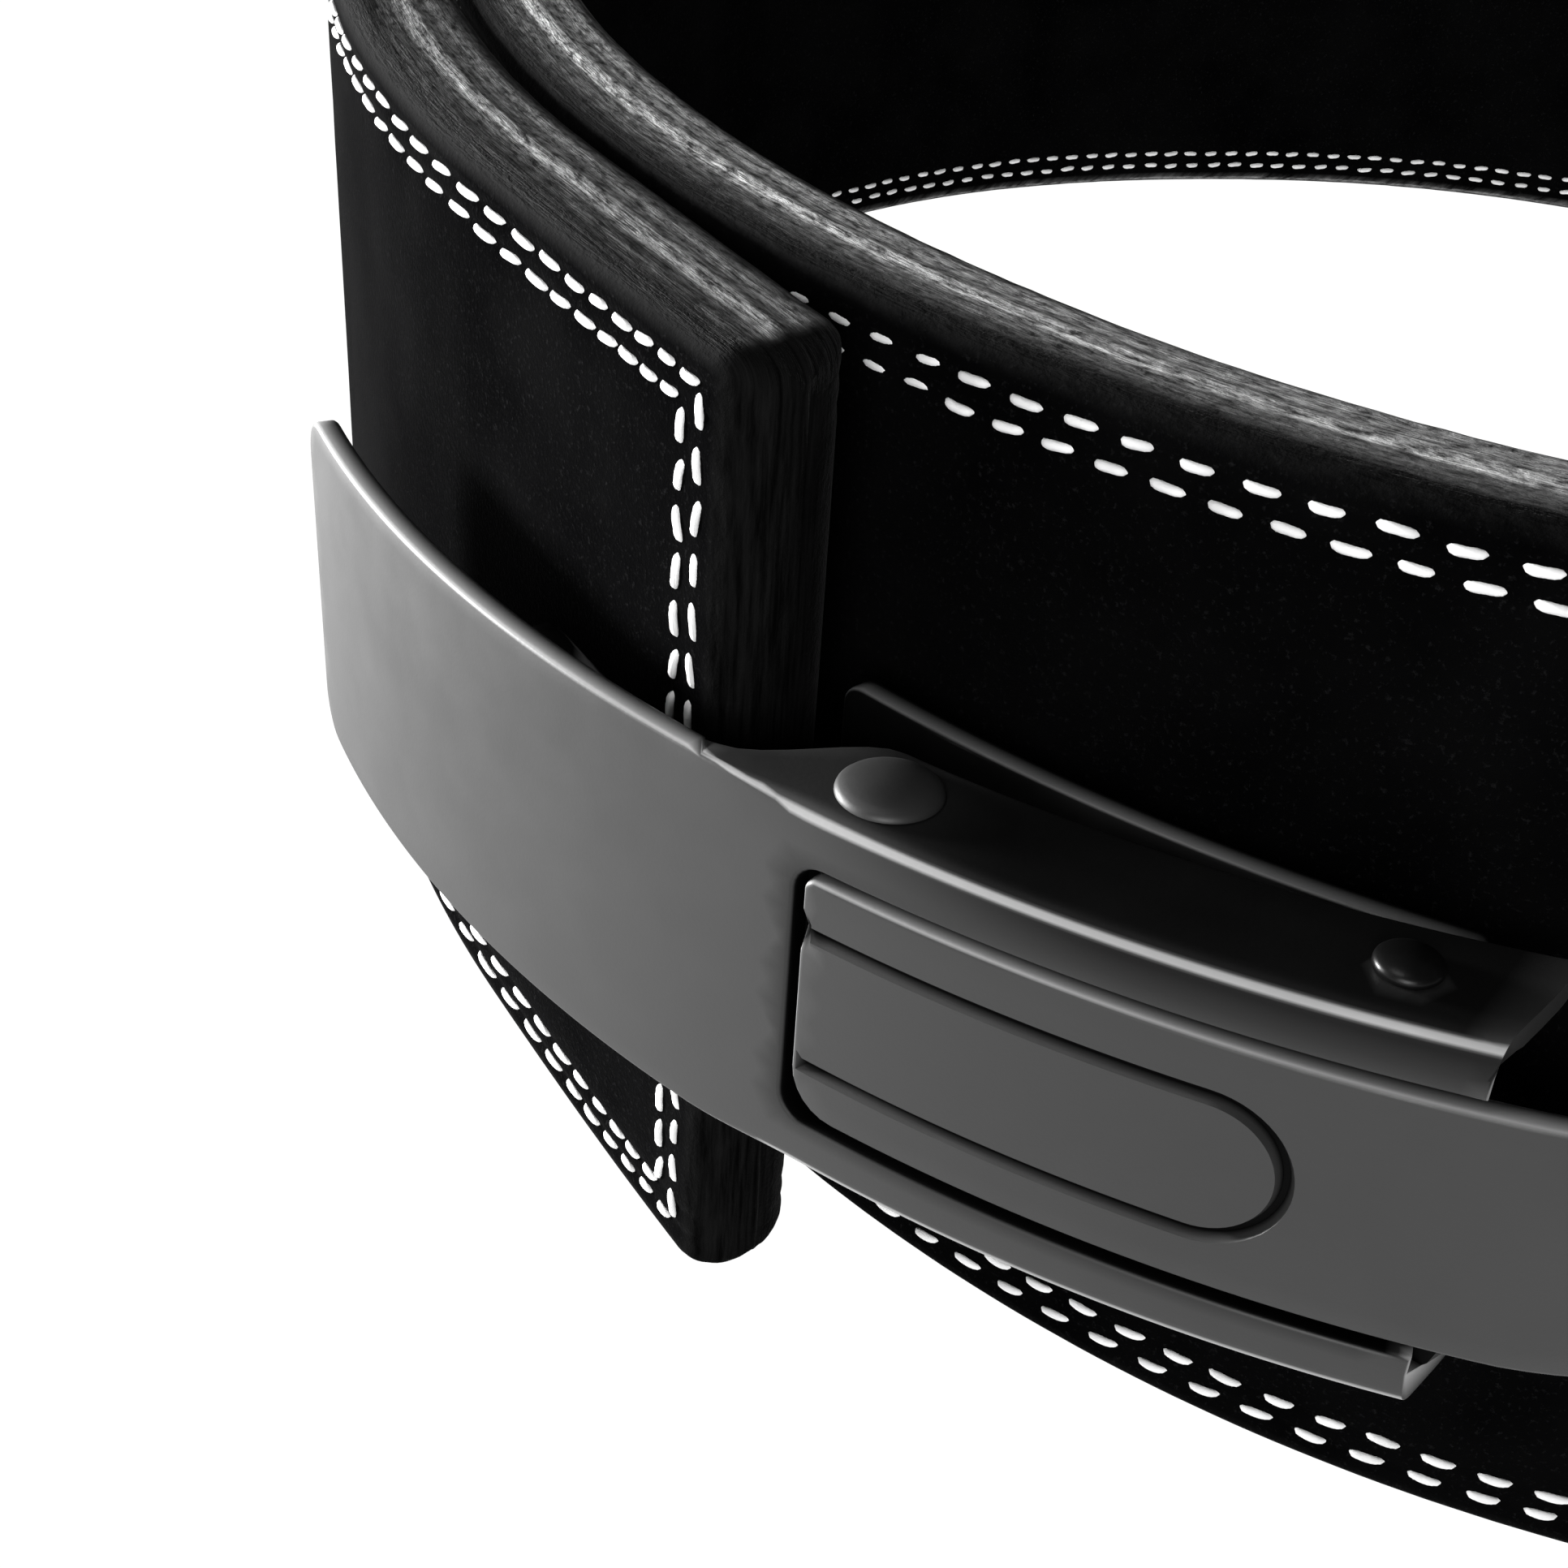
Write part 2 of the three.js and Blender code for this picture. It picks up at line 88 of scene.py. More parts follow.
# The stitching, in two rows round the strap's outline, on both faces
row_insets = (4.1, 6.7)
end_insets = (5.9, 8.4)
stitch_pitch = (4.85, 4.6)
stitch_length = 3.1
thread_width = 0.88
thread_height = 0.75
end_pitch = (0.62, 1.22)        # the pitch near the outer end, and a hand's width from it, as shares
end_stretch = 0.24
stitch_lean = 3.0              # degrees
long_row_sway = 6.0
end_row_sway = 14.0
pressed_in = 0.42
stitch_groove = 0.25

# The lever and its window
lever_radius = 156.0
lever_shift = -9.9
lever_height = 38.0
lever_reach = 78.4
lever_length = 141.6
lever_corner = 5.0
sheet = 2.4
lever_clearance = 2.35
window_length = 56.2
window_height = 26.8
window_corner = 2.6
flange_depth = 12.0
flange_ramp = 13.0
flange_start = 11.0
flange_lean = 0.49
flange_steps = 24              # points of each rim of the lever
bend_radius = 1.9
edge_radius = 0.5
painted_highlight_from = 0.15             # a highlight is painted on the bends between these depths
painted_highlight_to = 0.52
pin_depth = 6.0
pivot_inset = 7.6
link_pin_inset = 4.6
pin_diameter = 3.8
pin_head_diameter = 5.4
link_pin_head_diameter = 9.0
pin_head_height = 1.5
pin_clearance = 0.3
lug_radius = 3.3

# The link plate
link_gap = 1.2
link_end_gap = 0.9
link_corner = 4.5
tongue_length = 42.9
tongue_height = 13.9
groove_width = 0.9
groove_depth = 0.9
link_run = 6.0
link_past_prongs = 9.0
link_flat = 12.0
crank_ease = 0.45

# The mount and its screws
mount_height = 22.0
mount_length = 27.0
pad_height = 35.0
pad_rise = 3.8
pad_past_pivot = 3.6
seat_gap = 0.3
screw_inset = 12.5
screw_pitch = 13.0
screw_row_gap = 12.0
screw_head_diameter = 8.5
screw_head_height = 1.5
screw_diameter = 4.0
screw_depth = 9.0

# The camera, at the photograph's place, in metres and degrees
camera_place = (0.14037, -0.30250, 0.17287)
camera_heading = 133.953       # from +X, seen from above
camera_pitch = -34.208
camera_roll = 3.618
camera_lens = 53.14
camera_sensor = 36.0

mid_height = belt_width / 2
strap_pitch = strap_thickness + layer_gap
mount_seat = strap_pitch + strap_thickness + seat_gap


def smoothstep(value, low, high):
    share = min(1.0, max(0.0, (value - low) / (high - low)))
    return share * share * (3 - 2 * share)


def spaced(start, end, step):
    count = max(1, math.ceil((end - start) / step))
    return [start + (end - start) * i / count for i in range(count + 1)]


def trace_loop():
    """The loop's inner face, sampled once round from its front point, anticlockwise seen from above."""
    samples = 1440
    turn = math.radians(loop_turn)
    points = []
    for i in range(samples):
        angle = 2 * math.pi * i / samples
        across_long = abs(math.cos(angle) / (waist_long / 2)) ** loop_squareness
        across_short = abs(math.sin(angle) / (waist_short / 2)) ** loop_squareness
        radius = (across_long + across_short) ** (-1 / loop_squareness)
        points.append(Vector((radius * math.cos(angle + turn), radius * math.sin(angle + turn))))
    front = min(range(samples), key=lambda i: points[i].y)
    ordered = points[front:] + points[:front] + [points[front]]
    length = 0.0
    traced = []
    for i, point in enumerate(ordered):
        before = ordered[samples - 1 if i == 0 else i - 1]
        after = ordered[1 if i == samples else i + 1]
        if i > 0:
            length += (point - before).length
        tangent = (after - before).normalized()
        traced.append((point, length, Vector((tangent.y, -tangent.x))))
    return traced


def locate(lengths, length):
    """The sample before a length, and how far on to the next one it lies, as a share."""
    low = min(max(bisect.bisect_right(lengths, length) - 1, 0), len(lengths) - 2)
    return low, (length - lengths[low]) / (lengths[low + 1] - lengths[low])


loop = trace_loop()
loop_lengths = [sample[1] for sample in loop]
loop_length = loop_lengths[-1]
front_point = loop[0][0]


def on_belt(along, offset):
    """Point at a length along the loop's inner face and an offset outwards from it."""
    low, share = locate(loop_lengths, along % loop_length)
    point = loop[low][0].lerp(loop[low + 1][0], share)
    normal = loop[low][2].lerp(loop[low + 1][2], share).normalized()
    return point + normal * offset


def along_belt(point):
    nearest = min(loop, key=lambda sample: (sample[0] - point).length)[1]
    return nearest - loop_length if nearest > loop_length / 2 else nearest


def outwards(along):
    return on_belt(along, 1) - on_belt(along, 0)


lever_face = mount_seat + end_lift + sheet + lever_clearance + sheet
lever_centre = front_point + Vector((lever_shift, lever_radius - lever_face))


def lever_normal(length):
    angle = length / lever_radius - math.pi / 2
    return Vector((math.cos(angle), math.sin(angle)))


def on_lever(length, depth):
    return lever_centre + lever_normal(length) * (lever_radius - depth)


# Places along the belt that several pieces share
inner_end_at = prong_at - engaged_pair * hole_pitch - hole_margin
outer_end_along = loop_length + buckle_end_at
window_end = lever_reach - window_length
pivot = on_lever(lever_reach - pivot_inset, pin_depth)
link_pin = on_lever(window_end + link_pin_inset, pin_depth)
pivot_along = along_belt(pivot)
link_half = window_height / 2 - link_gap

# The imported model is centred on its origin, so the loop moves to where the pivot pin is
pin_low, pin_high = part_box("pivot_pin")
loop_shift = Vector(((pin_low.x + pin_high.x) / 2 / MM, (pin_low.y + pin_high.y) / 2 / MM)) - pivot


def to_frame(flat, height):
    """A point seen from above and a height, in millimetres, as a point of the model in metres."""
    return Vector((flat.x + loop_shift.x, flat.y + loop_shift.y, height)) * MM


def strap_offset(along):
    """Offset of the strap's inner face from the loop, from the inner end once round to the outer end."""
    covered_from = loop_length + inner_end_at - 2 * layer_gap
    rise = smoothstep(along, covered_from - step_down_length, covered_from)
    lift = max(0.0, (along - outer_end_along + end_round + end_lift_length) / end_lift_length)
    return strap_pitch * rise + end_lift * lift ** 2


def face_offset(along):
    return strap_offset(loop_length + along) + strap_thickness


def add_camera():
    camera = bpy.data.cameras.new("camera")
    camera.lens = camera_lens
    camera.sensor_width = camera_sensor
    camera.clip_start = 0.01
    holder = bpy.data.objects.new("camera", camera)
    holder.location = camera_place
    heading = math.radians(camera_heading - 90)
    tilt = math.radians(90 + camera_pitch)
    roll = math.radians(camera_roll)
    turn = Matrix.Rotation(heading, 3, "Z") @ Matrix.Rotation(tilt, 3, "X") @ Matrix.Rotation(roll, 3, "Z")
    holder.rotation_euler = turn.to_euler()
    bpy.context.scene.collection.objects.link(holder)
    bpy.context.scene.camera = holder


add_camera()


# Materials
def new_material(name):
    material = bpy.data.materials.new(name)
    material.use_nodes = True
    tree = material.node_tree
    shader = tree.nodes["Principled BSDF"]
    return material, tree, shader


def attribute(tree, name):
    node = tree.nodes.new("ShaderNodeAttribute")
    node.attribute_name = name
    return node.outputs["Fac"]


def noise_node(tree, vector, scale, detail=3.0, roughness=0.55):
    node = tree.nodes.new("ShaderNodeTexNoise")
    node.inputs["Scale"].default_value = scale
    node.inputs["Detail"].default_value = detail
    node.inputs["Roughness"].default_value = roughness
    tree.links.new(vector, node.inputs["Vector"])
    return node.outputs["Fac"]


def object_place(tree):
    return tree.nodes.new("ShaderNodeTexCoord").outputs["Object"]


def ramp(tree, fac, stops):
    """A colour ramp of grey stops, each a place and a grey."""
    node = tree.nodes.new("ShaderNodeValToRGB")
    elements = node.color_ramp.elements
    while len(elements) < len(stops):
        elements.new(0.5)
    for element, (place, grey) in zip(elements, stops):
        element.position = place
        element.color = (grey, grey, grey, 1)
    tree.links.new(fac, node.inputs["Fac"])
    return node.outputs["Color"]


def maths(tree, operation, first, second):
    node = tree.nodes.new("ShaderNodeMath")
    node.operation = operation
    for socket, value in zip(node.inputs, (first, second)):
        if isinstance(value, (int, float)):
            socket.default_value = value
        else:
            tree.links.new(value, socket)
    return node.outputs["Value"]


def blend(tree, fac, first, second, kind="MIX"):
    node = tree.nodes.new("ShaderNodeMix")
    node.data_type = "RGBA"
    node.blend_type = kind
    for socket, value in ((node.inputs[0], fac), (node.inputs[6], first), (node.inputs[7], second)):
        if isinstance(value, (tuple, float)):
            socket.default_value = value
        else:
            tree.links.new(value, socket)
    return node.outputs[2]


def bump(tree, height, strength, distance, normal=None):
    node = tree.nodes.new("ShaderNodeBump")
    node.inputs["Strength"].default_value = strength
    node.inputs["Distance"].default_value = distance
    tree.links.new(height, node.inputs["Height"])
    if normal is not None:
        tree.links.new(normal, node.inputs["Normal"])
    return node.outputs["Normal"]


def strap_material():
    """Black suede faces, and burnished edges on which the layers of the strap show as long streaks; the
    edges' light greys are largely a painted highlight of their gloss.
    """
    material, tree, shader = new_material("black_suede")
    place = object_place(tree)
    run = attribute(tree, "run")
    across = attribute(tree, "across")
    edge = attribute(tree, "edge")
    end = attribute(tree, "end")

    blotches = noise_node(tree, place, 55.0, 4.0)
    fibres = noise_node(tree, place, 1900.0, 3.0, 0.7)
    suede = blend(tree, ramp(tree, blotches, ((0.35, 0.0), (0.65, 1.0))), (0.0009, 0.0009, 0.0010, 1),
                  (0.0022, 0.0022, 0.0023, 1))
    fleck = ramp(tree, fibres, ((0.58, 0.0), (0.72, 0.4)))
    suede = blend(tree, fleck, suede, (0.014, 0.014, 0.0145, 1))

    # Streaks run with the strap: the noise is stretched along it, and fine across it
    def stretched(along_scale, across_scale):
        joined = tree.nodes.new("ShaderNodeCombineXYZ")
        tree.links.new(maths(tree, "MULTIPLY", run, along_scale), joined.inputs["X"])
        tree.links.new(maths(tree, "MULTIPLY", across, across_scale), joined.inputs["Y"])
        return joined.outputs["Vector"]

    streaks = noise_node(tree, stretched(0.05, 0.75), 2.2, 4.0, 0.65)
    speckle = noise_node(tree, stretched(0.26, 0.75), 1.7, 4.0, 0.7)
    wander = maths(tree, "MULTIPLY", maths(tree, "SUBTRACT", streaks, 0.5), 0.08)
    layer = maths(tree, "ADD", maths(tree, "DIVIDE", across, strap_thickness), wander)
    # Painted highlight: the light greys of the edges and the bright line on the ridge stand in for the gloss
    # of the burnish, over the layers' own tones
    layers = ramp(tree, layer, (
        (0.0, 0.02), (0.04, 0.26), (0.08, 0.02), (0.13, 0.18), (0.36, 0.27), (0.50, 0.22), (0.55, 0.40),
        (0.61, 0.12), (0.72, 0.08), (0.84, 0.003)))
    contrast = ramp(tree, speckle, ((0.36, 0.08), (0.66, 1.6)))
    streak_tone = ramp(tree, streaks, ((0.3, 0.65), (0.7, 1.25)))
    toned = blend(tree, 1.0, layers, contrast, "MULTIPLY")
    toned = blend(tree, 1.0, toned, streak_tone, "MULTIPLY")
    # The edges' colour, painted highlight included, is 1.6 times lighter over most of the strap and dims
    # towards its outer end
    worn = ramp(tree, maths(tree, "DIVIDE", run, 1200.0), ((0.05, 1.6), (0.6, 1.6), (0.8, 0.95)))
    toned = blend(tree, 1.0, toned, worn, "MULTIPLY")
    colour = blend(tree, edge, suede, toned)
    cut_face = blend(tree, ramp(tree, streaks, ((0.35, 0.0), (0.65, 1.0))), (0.0015, 0.0015, 0.0015, 1),
                     (0.007, 0.007, 0.007, 1))
    colour = blend(tree, end, colour, cut_face)
    tree.links.new(colour, shader.inputs["Base Color"])

    rough = maths(tree, "SUBTRACT", 0.95, maths(tree, "MULTIPLY", edge, 0.4))
    tree.links.new(rough, shader.inputs["Roughness"])
    gloss = maths(tree, "MULTIPLY", maths(tree, "MULTIPLY", edge, 0.06), maths(tree, "SUBTRACT", 1.0, end))
    tree.links.new(gloss, shader.inputs["Specular IOR Level"])
    shader.inputs["Sheen Weight"].default_value = 0.04
    shader.inputs["Sheen Roughness"].default_value = 0.25

    nap = bump(tree, fibres, 0.35, 0.0004)
    relief = maths(tree, "ADD", maths(tree, "MULTIPLY", streaks, 1.0), maths(tree, "MULTIPLY", speckle, 0.6))
    relief = maths(tree, "MULTIPLY", relief, edge)
    tree.links.new(bump(tree, relief, 0.7, 0.0009, nap), shader.inputs["Normal"])
    return material


def thread_material():
    """Bonded white thread, with a fine bump of its fibres."""
    material, tree, shader = new_material("white_thread")
    place = object_place(tree)
    soil = ramp(tree, noise_node(tree, place, 160.0, 2.0), ((0.35, 0.78), (0.6, 0.94)))
    tree.links.new(soil, shader.inputs["Base Color"])
    shader.inputs["Roughness"].default_value = 0.55
    shader.inputs["Sheen Weight"].default_value = 0.2
    fibres = noise_node(tree, place, 5200.0, 2.0)
    tree.links.new(bump(tree, fibres, 0.25, 0.0001), shader.inputs["Normal"])
    return material


def steel_material(name, dark, light, roughness, specular, highlight_strength):
    """Coated steel: cloudy and finely grained, with a painted highlight on its bends and painted shade where
    its attribute of painted light is negative.
    """
    material, tree, shader = new_material(name)
    place = object_place(tree)
    clouds = noise_node(tree, place, 38.0, 4.0)
    grain = noise_node(tree, place, 2600.0, 2.0)
    colour = blend(tree, clouds, (dark, dark, dark * 0.995, 1), (light, light, light * 0.995, 1))
    coat = attribute(tree, "coat")
    painted_highlight = maths(tree, "MULTIPLY", maths(tree, "MAXIMUM", coat, 0.0), highlight_strength)
    painted_shade = maths(tree, "MAXIMUM", maths(tree, "MULTIPLY", coat, -1.0), 0.0)
    # Painted light: a 0.6 grey highlight on the bends, and near black painted shade with dulled shine where
    # the attribute is negative
    colour = blend(tree, painted_highlight, colour, (0.6, 0.6, 0.6, 1))
    colour = blend(tree, painted_shade, colour, (0.0008, 0.0008, 0.0008, 1))
    tree.links.new(colour, shader.inputs["Base Color"])
    dulled = maths(tree, "SUBTRACT", 1.0, maths(tree, "MULTIPLY", painted_shade, 0.93))
    shine = maths(tree, "MULTIPLY", dulled, specular)
    tree.links.new(shine, shader.inputs["Specular IOR Level"])
    tones = ((0.3, roughness - 0.05), (0.7, roughness + 0.06))
    tone = ramp(tree, noise_node(tree, place, 120.0, 3.0), tones)
    tree.links.new(tone, shader.inputs["Roughness"])
    tree.links.new(bump(tree, grain, 0.12, 0.00008), shader.inputs["Normal"])
    return material


suede = strap_material()
thread = thread_material()
satin_steel = steel_material("satin_steel", 0.017, 0.021, 0.47, 0.55, 0.5)
black_steel = steel_material("black_steel", 0.002, 0.003, 0.36, 0.25, 0.2)


# Mesh helpers
def new_mesh(name, points, faces, merged=False, **attributes):
    """A mesh from points in metres, with a value of each attribute for each point, turned outwards."""
    mesh = bpy.data.meshes.new(name)
    mesh.from_pydata([tuple(point) for point in points], [], faces)
    for attribute_name, values in attributes.items():
        mesh.attributes.new(attribute_name, "FLOAT", "POINT").data.foreach_set("value", values)
    built = bmesh.new()
    built.from_mesh(mesh)
    if merged:
        bmesh.ops.remove_doubles(built, verts=built.verts, dist=2e-6)
        bmesh.ops.dissolve_degenerate(built, edges=built.edges, dist=1e-6)
    bmesh.ops.recalc_face_normals(built, faces=built.faces)
    built.to_mesh(mesh)
    built.free()
    return mesh


def finish_piece(name, mesh, material, angle):
    mesh.materials.append(material)
    piece = bpy.data.objects.new(name, mesh)
    bpy.context.scene.collection.objects.link(piece)
    smooth_by_angle(mesh, angle)
    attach(piece, "root")
    return piece


def smooth_by_angle(mesh, angle):
    mesh.shade_smooth()
    mesh.set_sharp_from_angle(angle=math.radians(angle))


def cut(piece, cutters, operation="DIFFERENCE"):
    """Cuts closed meshes out of a piece, or joins them to it."""
    for cutter in cutters:
        change = piece.modifiers.new("change", "BOOLEAN")
        change.operation = operation
        change.solver = "EXACT"
        change.object = cutter
    bpy.context.view_layer.update()
    graph = bpy.context.evaluated_depsgraph_get()
    mesh = bpy.data.meshes.new_from_object(piece.evaluated_get(graph))
    piece.modifiers.clear()
    old = piece.data
    piece.data = mesh
    mesh.name = old.name
    bpy.data.meshes.remove(old)
    for cutter in cutters:
        used = cutter.data
        bpy.data.objects.remove(cutter)
        bpy.data.meshes.remove(used)


def tool(points, faces):
    """A closed mesh that only cuts or joins, so it is no piece of the object."""
    holder = bpy.data.objects.new("tool", new_mesh("tool", points, faces))
    bpy.context.scene.collection.objects.link(holder)
    return holder


def tube_faces(rings, sides, first=0):
    """Faces of a tube through rings of points, closed at both ends."""
    faces = []
    for ring in range(rings - 1):
        for i in range(sides):
            a = first + ring * sides + i
            b = first + ring * sides + (i + 1) % sides
            faces.append((a, b, b + sides, a + sides))
    faces.append(tuple(first + i for i in range(sides))[::-1])
    faces.append(tuple(first + (rings - 1) * sides + i for i in range(sides)))
    return faces


def rod_mesh(foot, axis, profile, sides):
    """A turned solid: the profile has a radius and a length along the axis for each ring."""
    axis = axis.normalized()
    helper = Vector((0, 0, 1)) if abs(axis.z) < 0.9 else Vector((1, 0, 0))
    side = axis.cross(helper).normalized()
    other = axis.cross(side)
    points = []
    for radius, length in profile:
        for i in range(sides):
            angle = 2 * math.pi * i / sides
            spoke = side * math.cos(angle) + other * math.sin(angle)
            points.append(foot + (axis * length + spoke * radius) * MM)
    return points, tube_faces(len(profile), sides)


def pin_hole(centre):
    radius = pin_diameter / 2 + pin_clearance
    profile = ((radius, -lever_height), (radius, lever_height))
    return tool(*rod_mesh(to_frame(centre, mid_height), Vector((0, 0, 1)), profile, 32))


# The strap
def face_heights():
    """Heights of the mesh rows on the strap's faces, close together at the edges and the stitch grooves."""
    near_edge = [shoulder, 3.0, 3.6, 4.1, 4.6, 5.3, 6.1, 6.7, 7.3, 8.2, 10.0, 13.0, 17.0, 22.0, 28.0, 35.0,
                 42.0]
    return near_edge + [mid_height] + [belt_width - height for height in reversed(near_edge)]


def groove_at(distance, insets):
    """How far a face sinks at a distance from the outline, under the two stitch rows."""
    return sum(stitch_groove * math.exp(-((distance - inset) / 0.75) ** 2) for inset in insets)


def shoulder_points(angles, outer, top):
    """The rounding between one face and one cut edge."""
    points = []
    for angle in angles:
        from_face = shoulder * (1 - math.cos(angle))
        from_edge = shoulder * (1 - math.sin(angle))
        offset = strap_thickness - from_face if outer else from_face
        height = belt_width - from_edge if top else from_edge
        points.append((offset, height, angle / (math.pi / 2), 0))
    return points


def section():
    """Each point of the strap's section: its offset from the inner face, its height, how much it is an edge,
    and 1 on the outer face, -1 on the inner one and 0 between them."""
    heights = face_heights()
    across = spaced(shoulder, strap_thickness - shoulder, edge_step)
    quarter = [math.radians(angle) for angle in (22.5, 45, 67.5)]
    ring = [(strap_thickness, height, 0.0, 1) for height in heights]
    ring += shoulder_points(quarter, True, True)
    ring += [(offset, belt_width, 1.0, 0) for offset in reversed(across)]
    ring += shoulder_points(reversed(quarter), False, True)
    ring += [(0.0, height, 0.0, -1) for height in reversed(heights)]
    ring += shoulder_points(quarter, False, False)
    ring += [(offset, 0.0, 1.0, 0) for offset in across]
    ring += shoulder_points(reversed(quarter), True, False)
    return ring


def edge_relief(along, offset, top):
    """Height of the worn ridges on the cut edges, where the layers of the strap meet."""
    share = offset / strap_thickness
    ridge = ridge_rise * math.exp(-((share - ridge_at) / ridge_width) ** 2)
    valley = -valley_depth * math.exp(-((share - valley_at) / valley_width) ** 2)
    streak = 0.16 * noise.noise(Vector((along * 0.03, offset * 1.1, 7.0)))
    rough = 0.12 * noise.noise(Vector((along * 0.35, offset * 0.9, 3.0)))
    worn = ridge + valley + streak + rough - 0.35
    return worn if top else min(0.0, worn + 0.1) * 0.5


def build_strap():
    ring = section()
    dome = [end_round * (1 - math.cos(math.radians(angle))) for angle in spaced(0, 90, 6)][1:-1]
    dome.insert(0, 0.004)
    places = [inner_end_at + step for step in dome]
    places += spaced(inner_end_at + end_round, outer_end_along - end_round, strap_step)
    places += [outer_end_along - step for step in reversed(dome)]
    points = []
    runs = []
    acrosses = []
    edges = []
    ends = []
    for along in places:
        to_end = min(along - inner_end_at, outer_end_along - along)
        inside = max(0.0, 1 - to_end / end_round)
        pinch = math.sqrt(max(0.0, 1 - inside ** 2))
        base = strap_offset(along)
        wave = 0.18 * noise.noise(Vector((along * 0.02, 0.0, 11.0)))
        for offset, height, edge, face in ring:
            z = height
            o = offset
            if face:
                distance = min(height, belt_width - height)
                sink = max(groove_at(distance, row_insets), groove_at(to_end, end_insets))
                nap = 0.10 * noise.noise(Vector((along * 0.12, height * 0.12, 5.0 * face)))
                o -= face * (sink + 0.12 - nap)
            elif height > mid_height:
                z += edge * edge_relief(along, offset, True) + wave
            else:
                z -= edge * edge_relief(along, offset, False)
            o = strap_thickness / 2 + (o - strap_thickness / 2) * pinch
            z += (mid_height - z) / mid_height * end_shoulder * (1 - pinch)
            points.append(to_frame(on_belt(along, base + o), z))
            runs.append(along + z)
            acrosses.append(o)
            edges.append(edge)
            ends.append(min(1.0, inside * 3))
    faces = tube_faces(len(places), len(ring))
    mesh = new_mesh("belt_strap_leather", points, faces, run=runs, across=acrosses, edge=edges, end=ends)
    piece = finish_piece("belt_strap_leather", mesh, suede, 50.0)
    cutters = []
    for pair in range(hole_pairs):
        along = inner_end_at + hole_margin + pair * hole_pitch
        normal = outwards(along)
        for height in (mid_height + hole_row_gap / 2, mid_height - hole_row_gap / 2):
            foot = to_frame(on_belt(along, 0), height)
            radius = hole_diameter / 2
            profile = ((radius, -1.0), (radius, strap_thickness + layer_gap / 2))
            cutters.append(tool(*rod_mesh(foot, Vector((normal.x, normal.y, 0)), profile, 32)))
    cut(piece, cutters)
    smooth_by_angle(piece.data, 50.0)
    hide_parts("belt_strap")


# The stitching
def near_outer_end(along):
    return 1 - smoothstep(outer_end_along - along, 150, 250)


def pitch_share(along):
    """The stitches are closer at the outer end and longer behind it, as they were sewn."""
    tight, loose = end_pitch
    share = tight + (loose - tight) * smoothstep(outer_end_along - along, 5, 45)
    return 1 + (share - 1) * near_outer_end(along)


def long_row(left, right, pitch):
    """Shares of a long row at which its stitches lie, from its left end to its right one."""
    places = []
    along = right
    while along > left:
        step = pitch * pitch_share(along)
        places.append(((along - step / 2 - left) / (right - left), step))
        along -= step
    return places[:-1]


def stitch_path(inset, end_inset, pitch):
    """Middle, direction and length of each stitch of one row, round the strap's outline."""
    left = inner_end_at + end_inset
    right = outer_end_along - end_inset
    low = inset
    high = belt_width - inset
    corners = [(left, low), (right, low), (right, high), (left, high)]
    places = []
    for i, start in enumerate(corners):
        end = corners[(i + 1) % 4]
        length = math.dist(start, end)
        count = round(length / pitch)
        row = [((k + 0.5) / count, length / count) for k in range(count)]
        if i % 2 == 0:
            row = long_row(left, right, pitch)
        if i == 2:
            row = [(1 - share, step) for share, step in row]
        run = end[0] - start[0]
        rise = end[1] - start[1]
        for share, step in row:
            places.append((start[0] + run * share, start[1] + rise * share, math.atan2(rise, run), step))
    return places


def covered(along, height, side):
    """Whether a stitch lies between the two layers, or under the mount, where it is pressed in."""
    under_outer = side > 0 and along < buckle_end_at + 2
    over_inner = side < 0 and along > loop_length + inner_end_at
    beside_mount = abs(height - mid_height) < mount_height / 2 + 2
    under_mount = side > 0 and along > outer_end_along - 12 and beside_mount
    return under_outer or over_inner or under_mount


def build_stitches(name, side):
    """The thread that shows on one face of the strap: side is 1 on the outer face, -1 on the inner one."""
    rng = random.Random(31 + side)
    rings = 8
    sides = 8
    points = []
    faces = []
    for inset, end_inset, pitch in zip(row_insets, end_insets, stitch_pitch):
        for along, height, heading, step in stitch_path(inset, end_inset, pitch):
            upright_row = abs(math.sin(heading)) > 0.5
            sway = end_row_sway if upright_row else long_row_sway
            long_half = stitch_length / 2 * rng.uniform(0.9, 1.08) * step / pitch
            long_half *= 1 + end_stretch * near_outer_end(along)
            tilt = heading + side * math.radians(rng.uniform(stitch_lean - sway, stitch_lean + sway))
            direction = (math.cos(tilt), math.sin(tilt))
            square = (-math.sin(tilt), math.cos(tilt))
            sunk = pressed_in if covered(along, height, side) else rng.uniform(0.02, 0.12)
            along += rng.uniform(-0.15, 0.15)
            height += rng.uniform(-0.12, 0.12)
            bow = rng.uniform(-0.12, 0.12)
            first = len(points)
            for ring in range(rings + 1):
                share = 2 * ring / rings - 1
                girth = math.sqrt(max(0.0, 1 - abs(share) ** 3.2)) * (1 if 0 < ring < rings else 0) + 0.04
                dip = -sunk - 0.35 * share ** 4
                centre_run = long_half * share
                for i in range(sides):
                    angle = 2 * math.pi * i / sides + share * 0.9
                    twist = 1 + 0.05 * math.cos(3 * angle - 5 * share)
                    wide = thread_width / 2 * girth * twist * math.cos(angle) + bow * (1 - share ** 2)
                    tall = thread_height / 2 * girth * twist * math.sin(angle) + dip
                    s = along + direction[0] * centre_run + square[0] * wide
                    z = height + direction[1] * centre_run + square[1] * wide
                    surface = strap_thickness if side > 0 else 0.0
                    points.append(to_frame(on_belt(s, strap_offset(s) + surface + side * (tall - 0.1)), z))
            faces += tube_faces(rings + 1, sides, first)
    finish_piece(name, new_mesh(name, points, faces), thread, 80.0)


